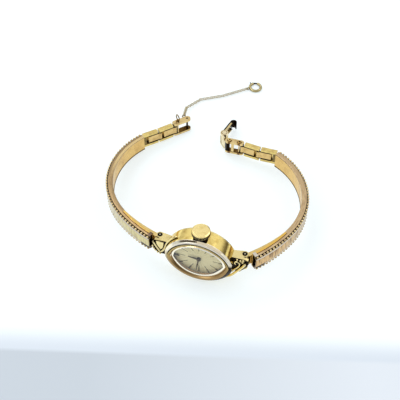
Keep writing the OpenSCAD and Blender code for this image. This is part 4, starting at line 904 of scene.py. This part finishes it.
# soft lamps aimed at the middle of the watch, which stay out of the picture themselves
lamps = {
    "softboxBack": {"at": (-0.20, 0.26, 0.45), "size": 0.30, "power": 0.55, "colour": "FFFFFF"},
    "softboxLeft": {"at": (-0.42, -0.25, 0.40), "size": 0.30, "power": 0.7, "colour": "F4F9FF"},
    "softboxRight": {"at": (0.35, 0.10, 0.45), "size": 0.30, "power": 0.35, "colour": "FFFBF4"},
    # low in front, for the upright dial; it hardly lights the table
    "cardFront": {"at": (-0.03, -0.45, 0.07), "size": 0.40, "power": 0.32, "colour": "FFFDF6"},
}
for name, lamp in lamps.items():
    light = bpy.data.lights.new(name, "AREA")
    light.size = lamp["size"]
    light.energy = lamp["power"]
    light.color = srgb(lamp["colour"])[:3]
    piece = bpy.data.objects.new(name, light)
    piece.location = lamp["at"]
    piece.rotation_euler = (-Vector(lamp["at"])).to_track_quat("-Z", "Y").to_euler()
    piece.visible_camera = False
    bpy.context.scene.collection.objects.link(piece)

# a white tent, open in front where the darker room shows, with a dark gap low down and to the right;
# the numbers are parts of a direction of length 1, and the camera sees a plain pale backdrop
room = {"tent": "F6F9FC", "dark": "504C44", "strength": 1.0, "from": -0.55, "to": 0.15, "lean": 0.45,
        "gap": "4A4230", "gapHigh": (0.12, 0.34), "gapSide": (-0.1, 0.55), "gapShare": (0.25, 0.9),
        "backdrop": "FDFEFF"}
world = bpy.data.worlds.new("room")
bpy.context.scene.world = world
world.use_nodes = True
worldTree = world.node_tree
worldTree.nodes.clear()
direction = addNode(worldTree, "ShaderNodeTexCoord").outputs["Generated"]
x, y, z = addNode(worldTree, "ShaderNodeSeparateXYZ", {0: direction}).outputs
lean = addNode(worldTree, "ShaderNodeMath", {0: z, 1: room["lean"], 2: y}, operation="MULTIPLY_ADD")
opening = addNode(worldTree, "ShaderNodeMapRange", {0: lean, 1: room["from"], 2: room["to"], 3: 0.0, 4: 1.0})
low, high = room["gapHigh"]
down = addNode(worldTree, "ShaderNodeMapRange", {0: z, 1: low, 2: high, 3: 1.0, 4: 0.0})
left, right = room["gapSide"]
least, most = room["gapShare"]
aside = addNode(worldTree, "ShaderNodeMapRange", {0: x, 1: left, 2: right, 3: least, 4: most})
gap = addNode(worldTree, "ShaderNodeMath", {0: down, 1: aside}, operation="MULTIPLY")
walls = layered(worldTree, room["dark"], [(opening, room["tent"]), (gap, room["gap"])])
air = addNode(worldTree, "ShaderNodeBackground", {"Color": walls, "Strength": room["strength"]})
plain = addNode(worldTree, "ShaderNodeBackground", {"Color": srgb(room["backdrop"]), "Strength": 1.0})
ray = addNode(worldTree, "ShaderNodeLightPath").outputs["Is Camera Ray"]
seenAir = addNode(worldTree, "ShaderNodeMixShader", {0: ray, 1: air, 2: plain})
addNode(worldTree, "ShaderNodeOutputWorld", {"Surface": seenAir})

# the photograph's angle and lens; the distance is in mm
view = {"elevation": 47.0, "distance": 195.4, "lens": 62.82, "sensor": 36.0, "nearest": 5.0}
cameraData = bpy.data.cameras.new("camera")
cameraData.lens = view["lens"]
cameraData.sensor_width = view["sensor"]
cameraData.clip_start = view["nearest"] * mm
camera = bpy.data.objects.new("camera", cameraData)
bpy.context.scene.collection.objects.link(camera)
away = view["distance"] * mm
tip = math.radians(view["elevation"])
camera.matrix_world = (plan() @ Matrix.Translation((0, -away * math.cos(tip), away * math.sin(tip)))
                       @ turned(90 - view["elevation"], "X"))
bpy.context.scene.camera = camera
bpy.context.scene.view_settings.view_transform = "Standard"
print("table, lamps and camera set")
